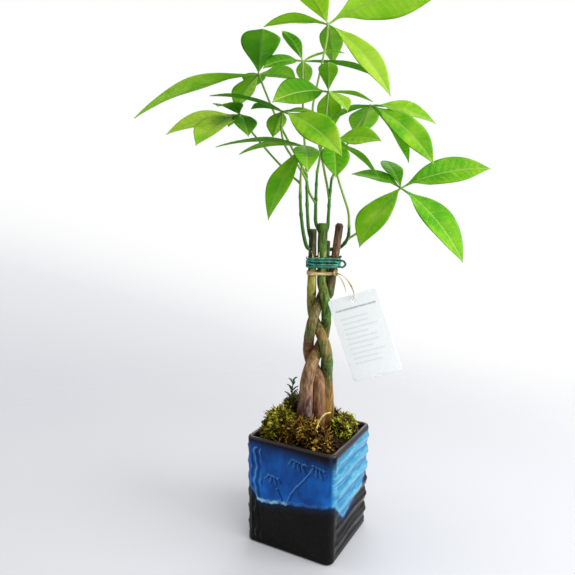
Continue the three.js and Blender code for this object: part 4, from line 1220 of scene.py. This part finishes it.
def leaflet(base, bearing, rise, length, width, faced, seed, stations=72, columns=8):
    """A closed thin blade before planting: points, faces, and what its finish reads at each point.

    Planting mirrors it, so its faces run the other way round here.
    """
    turn = math.radians(bearing)
    ahead = np.array((math.cos(turn), math.sin(turn), 0.0))
    level = np.array((ahead[1], -ahead[0], 0.0))
    roll = math.radians(faced) * (-1 if ahead[0] < 0 else 1)
    veins = max(4, round(length / VEIN_PITCH))
    cross = np.linspace(-1, 1, 2 * columns + 1)
    out = np.abs(cross)
    rim = np.sqrt(np.clip(1 - out**6, 0, 1))
    centre = np.array(base, float)
    rings = []
    for i in range(stations + 1):
        share = i / stations
        slope = math.radians(rise) + ARCH * (0.5 - share + 1 / 12)
        along = ahead * math.cos(slope) + np.array((0, 0, math.sin(slope)))
        side = turned_about(level, along, -roll * float(eased(share, 0, 0.3)))
        normal = np.cross(side, along)
        half = max(0.32, half_width(width, share), 0.75 * (1 - eased(share, 0.02, 0.08)))
        fold = half * math.sin(FOLD) * out * (1 - 0.25 * out) * 1.15
        in_middle = 1 - eased(np.abs(share - 0.5), 0.36, 0.47)
        quilt = np.cos(2 * math.pi * (share * veins - VEIN_SLANT * out * half / VEIN_PITCH))
        quilt = -QUILT * in_middle * quilt * np.sin(math.pi * out)
        flutter = FLUTTER * half * np.sin(9 * share + seed + 1.3 * np.sign(cross)) * out**2
        groove = -GROOVE * np.exp(-((cross * half / 0.7) ** 2)) * (1 - 0.6 * share)
        middle = centre + np.outer(cross * half * math.cos(FOLD), side)
        middle = middle + np.outer(fold + quilt + flutter + groove, normal)
        keel = KEEL * np.exp(-((cross * half / 0.55) ** 2)) * (1 - 0.7 * share)
        top = middle + np.outer(BLADE / 2 * rim, normal)
        under = middle - np.outer((BLADE / 2 + keel) * rim, normal)
        rings.append(np.concatenate([top, under[1:-1][::-1]]))
        centre = centre + along * length / stations
    faces = [face[::-1] for face in ring_faces(stations + 1, 4 * columns)]
    along = np.repeat(np.linspace(0, 1, stations + 1), 4 * columns)
    measures = {
        "along": along,
        "across": np.tile(np.concatenate([cross, cross[1:-1][::-1]]), stations + 1),
        "half": half_width(width, along),
        "upper": np.tile(np.repeat([1, 0], [2 * columns + 1, 2 * columns - 1]), stations + 1),
        "veins": veins,
    }
    return np.concatenate(rings), faces, measures


def blade_finish(name, dark, mid, light, vein, glow, through):
    """A leaf blade: waxy above and paler below, lit through, with a pale midrib, side veins and a fine net.

    dark to light follow each leaflet's paleness, which partly paints the light and shade that falls on it.
    glow is the light that comes through, through its share.
    """
    made = new_material(name)
    spot = add(made, "TexCoord", output="Object")
    along, across, own, half, upper, veins = measured(made, *ON_STALK)
    from_rib = add(made, "Math", [across], operation="ABSOLUTE")
    from_rib = add(made, "Math", [from_rib, half], operation="MULTIPLY")
    rib = add(made, "MapRange", [from_rib, 0.85, 0.35], **EASED)
    slant = add(made, "Math", [from_rib, -VEIN_SLANT / VEIN_PITCH], operation="MULTIPLY")
    step = add(made, "Math", [along, veins, slant], operation="MULTIPLY_ADD")
    step = away_from(made, add(made, "Math", [step], operation="FRACT"), 0.5)
    side_veins = add(made, "MapRange", [step, 0.44, 0.5], **EASED)
    net = add(made, "TexVoronoi", [spot, 1 / (1.8 * MM)], feature="DISTANCE_TO_EDGE")
    broad = speckle(made, spot, 22, 2)
    fine = speckle(made, spot, 3, 4)
    shade = add(made, "Math", [own, 0.4, broad], operation="MULTIPLY_ADD")
    colour = add(made, "ValToRGB", [shade], [(0.35, dark), (0.63, mid), (0.86, light), (1, "#c6de52")])
    colour = tinged(made, colour, light, along, 0.5, 1, 0.4)
    colour = tinged(made, colour, dark, fine, 0.45, 0.7, 0.2)
    colour = tinged(made, colour, vein, net, 0.12, 0.02, 0.07)
    colour = tinged(made, colour, vein, step, 0.44, 0.5, 0.4)
    colour = tinged(made, colour, vein, from_rib, 0.85, 0.35, 0.75)
    colour = tinged(made, colour, "#9cc84e", upper, 1, 0, 0.2)
    roughness = add(made, "MapRange", [fine, 0.3, 0.7, 0.4, 0.55], **EASED)
    wax = surface(made, colour, roughness, side_veins, 0.3, 0.25, IOR=1.45, Specular_IOR_Level=0.14)
    # The light let through follows the paleness too, so it also carries the painted light and shade.
    lit = tinged(made, glow, "#2f9c02", own, 0.5, -0.3, 0.6)
    lit = tinged(made, lit, "#d4f268", own, 0.8, 1.4, 0.8)
    lit = tinged(made, lit, "#3d8a1a", rib, 0, 1, 0.5)
    lit = tinged(made, lit, "#3d8a1a", step, 0.44, 0.5, 0.3)
    lit = add(made, "BsdfTranslucent", [lit])
    add(made, "OutputMaterial", [add(made, "MixShader", [through, wax, lit])])
    return made


# A grown blade is a full green. A young one is yellower, softer, and lets more light through.
grown = ("#2a8a02", "#62ae10", "#9acc26", "#bcd975", "#90d808")
tender = ("#54a406", "#8cc022", "#b4d840", "#d2e888", "#b6e422")
BLADES = {
    "full": (blade_finish("waxy green leaf blade", *grown, through=0.42), "leaf"),
    "young": (blade_finish("young green leaf blade", *tender, through=0.5), "young_leaf"),
}
rng = np.random.default_rng(5)
for name, finish, stalk, leaflets in LEAVES:
    path = curve_through(planted(stalk), 90)
    share = np.linspace(0, 1, len(path))
    radii = STALK_RADIUS - STALK_TAPER * share
    radii = radii + 0.5 * swelling(share, 0, 0.03) + 0.75 * swelling(share, 1, 0.02)
    parts = [tube(path, radii, STALK_SIDES)]
    numbers = {key: [np.full(len(parts[0][0]), value)] for key, value in ON_STALK.items()}
    for bearing, rise, length, width, faced, paleness in leaflets:
        seed = rng.uniform(0, 6)
        points, faces, measures = leaflet(stalk[-1], bearing, rise, length, width, faced, seed)
        parts.append((planted(points), faces))
        for key, values in (measures | {"own": paleness}).items():
            numbers[key].append(np.broadcast_to(values, len(points)))
    numbers = {key: np.concatenate(values) for key, values in numbers.items()}
    blade, slot = BLADES[finish]
    piece(name + "_blades", *joined(parts), blade, slot, replaced=[name], numbers=numbers)


# ---------- seedling and dry grass ----------
# A self-sown seedling with small dark blades up its stalk, rooted beside the braid, and one bleached blade of
# grass that is caught in the moss at the front and arches over it.
SPRIG_FOOT, SPRIG_HEIGHT, SPRIG_BARE = (-20, -7, 108), 60, 31
SPRIG_LEAVES, LEAF_GAP, LEAF_TURN, LEAF_RISE = 14, 2.1, 137.5, 34
LEAF_LENGTH, LEAF_SHRINK, LEAF_WIDTH = 12, 0.45, 3.6
GRASS_WIDTH, GRASS_EDGE = 4.4, 0.8
GRASS = [
    (3.6, 40.7, 124), (4.6, 40.6, 131), (6.4, 39.6, 137),
    (9.2, 38.2, 142.4), (13, 37.6, 146.4), (18.5, 38, 148.4),
]

across, toward, foot = SPRIG_FOOT
leans = ((0, 0), (-0.5, 0.5), (1, 1))
stalk = [(across + lean, toward, foot + SPRIG_HEIGHT * share) for lean, share in leans]
path = curve_through(planted(stalk), 30)
parts = [tube(path, np.linspace(1.0, 0.5, len(path)), 8)]
for i in range(SPRIG_LEAVES):
    base = (across - 0.3 + 0.07 * i, toward, foot + SPRIG_BARE + LEAF_GAP * i)
    shape = (i * LEAF_TURN, LEAF_RISE, LEAF_LENGTH - LEAF_SHRINK * i, LEAF_WIDTH, 0, i)
    points, faces, _ = leaflet(base, *shape, stations=10, columns=2)
    parts.append((planted(points), faces))
seedling = green_rind("dark seedling leaf", "#26391c", "#4a6230", 125, 175)
piece("seedling", *joined(parts), seedling, "moss_green", replaced=["moss_sprig"])

path = curve_through(planted(GRASS), 48)
share = np.linspace(0, 1, len(path))
widths = GRASS_EDGE + GRASS_WIDTH * np.sin(math.pi * (0.12 + 0.88 * share)) ** 0.8
points, faces = ribbon(path, widths, 0.5, 0.25, 0.6)

# Dry grass, dull and yellowish white where the sun took its green.
bleached = new_material("bleached dry grass")
spot = add(bleached, "TexCoord", output="Object")
fibre = speckle(bleached, spot, 1.1, 3, stretch=(4, 4, 4))
straw = add(bleached, "ValToRGB", [fibre], [(0.35, "#b4a848"), (0.55, "#d8d074"), (0.75, "#f0ecaa")])
add(bleached, "OutputMaterial", [surface(bleached, straw, 0.55, fibre, 0.4, 0.2)])
piece("dry_grass_blade", points, faces, bleached, "moss_brown")


# ---------- studio ----------
# A pale seamless sweep of paper that runs on into a bright haze, with a window at the right of the pot.
# Softboxes in front, behind and at the left fill in its shadows.
SWEEP_HALF, SWEEP_DROP = 2000, 0.4

# Uncoated paper is matte, so it takes the soft shadow under the pot and no reflection.
sweep = new_material("pale seamless paper")
spot = add(sweep, "TexCoord", output="Object")
matte = {"Base Color": "#b8bac0", "Roughness": 0.95, "Specular IOR Level": 0.1}
matte = add(sweep, "BsdfPrincipled", matte)
distance = add(sweep, "VectorMath", [spot], operation="LENGTH")
haze = add(sweep, "MapRange", [distance, 0.2, 0.95], **EASED)
add(sweep, "OutputMaterial", [add(sweep, "MixShader", [haze, matte, add(sweep, "BsdfTransparent")])])
mesh = bpy.data.meshes.new("floor")
corners = [(-1, -1), (1, -1), (1, 1), (-1, 1)]
corners = [(x * SWEEP_HALF * MM, y * SWEEP_HALF * MM, -SWEEP_DROP * MM) for x, y in corners]
mesh.from_pydata(corners, [], [(0, 1, 2, 3)])
mesh.materials.append(sweep)
floor = bpy.data.objects.new("floor", mesh)
scene.collection.objects.link(floor)

# The room is bright overhead, behind the pot and at its right, and dim on the camera's side. lit is the light
# that it throws, and seen is the pale wall that shows past the pot.
room = bpy.data.worlds.new("white room")
room.use_nodes = True
room.node_tree.nodes.clear()
away = add(room, "TexCoord", output="Generated")
overhead, beyond, sideways = (
    add(room, "VectorMath", [away, way], operation="DOT_PRODUCT")
    for way in ((0, 0, 1), (0.55, 0.8, 0.2), (0.3, 0.16, 0))
)
high = add(room, "MapRange", [overhead, -0.1, 0.9, 0.08, 0.8], **EASED)
far = add(room, "MapRange", [beyond, -0.3, 0.9, 0, 0.6], **EASED)
light = add(room, "Math", [high, far], operation="ADD")
hazy = add(room, "Math", [overhead, sideways], operation="ADD")
hazy = add(room, "MapRange", [hazy, -0.5, -0.12], **EASED)
wall = add(room, "ValToRGB", [hazy], [(0, "#d8d9df"), (0.7, "#eaebee"), (1, "#ffffff")])
seen = add(room, "Background", [wall, 1.0])
lit = add(room, "Background", ["#fffdf8", light])
looked_at = add(room, "LightPath", output="Is Camera Ray")
add(room, "OutputWorld", [add(room, "MixShader", [looked_at, lit, seen])])
scene.world = room

SOFTBOXES = [
    # name, place, what it shines at, width, height, watts
    ("window", (1.1, 0.1, 0.45), (0, 0, 0.2), 0.8, 0.9, 16),
    ("key", (0.9, -0.7, 1.3), (0, 0, 0.3), 0.8, 0.8, 10),
    ("back_light", (-0.3, 1.2, 1.0), (0, 0, 0.45), 1.2, 1.0, 10),
    ("fill", (-1.1, -0.5, 0.8), (0, 0, 0.45), 0.9, 0.9, 4),
]
for name, place, aim, width, height, watts in SOFTBOXES:
    lamp = bpy.data.lights.new(name, "AREA")
    lamp.shape = "RECTANGLE"
    lamp.size, lamp.size_y, lamp.energy = width, height, watts
    softbox = bpy.data.objects.new(name, lamp)
    softbox.location = place
    softbox.rotation_euler = (Vector(aim) - Vector(place)).to_track_quat("-Z", "Y").to_euler()
    scene.collection.objects.link(softbox)
scene.view_settings.view_transform = "Standard"
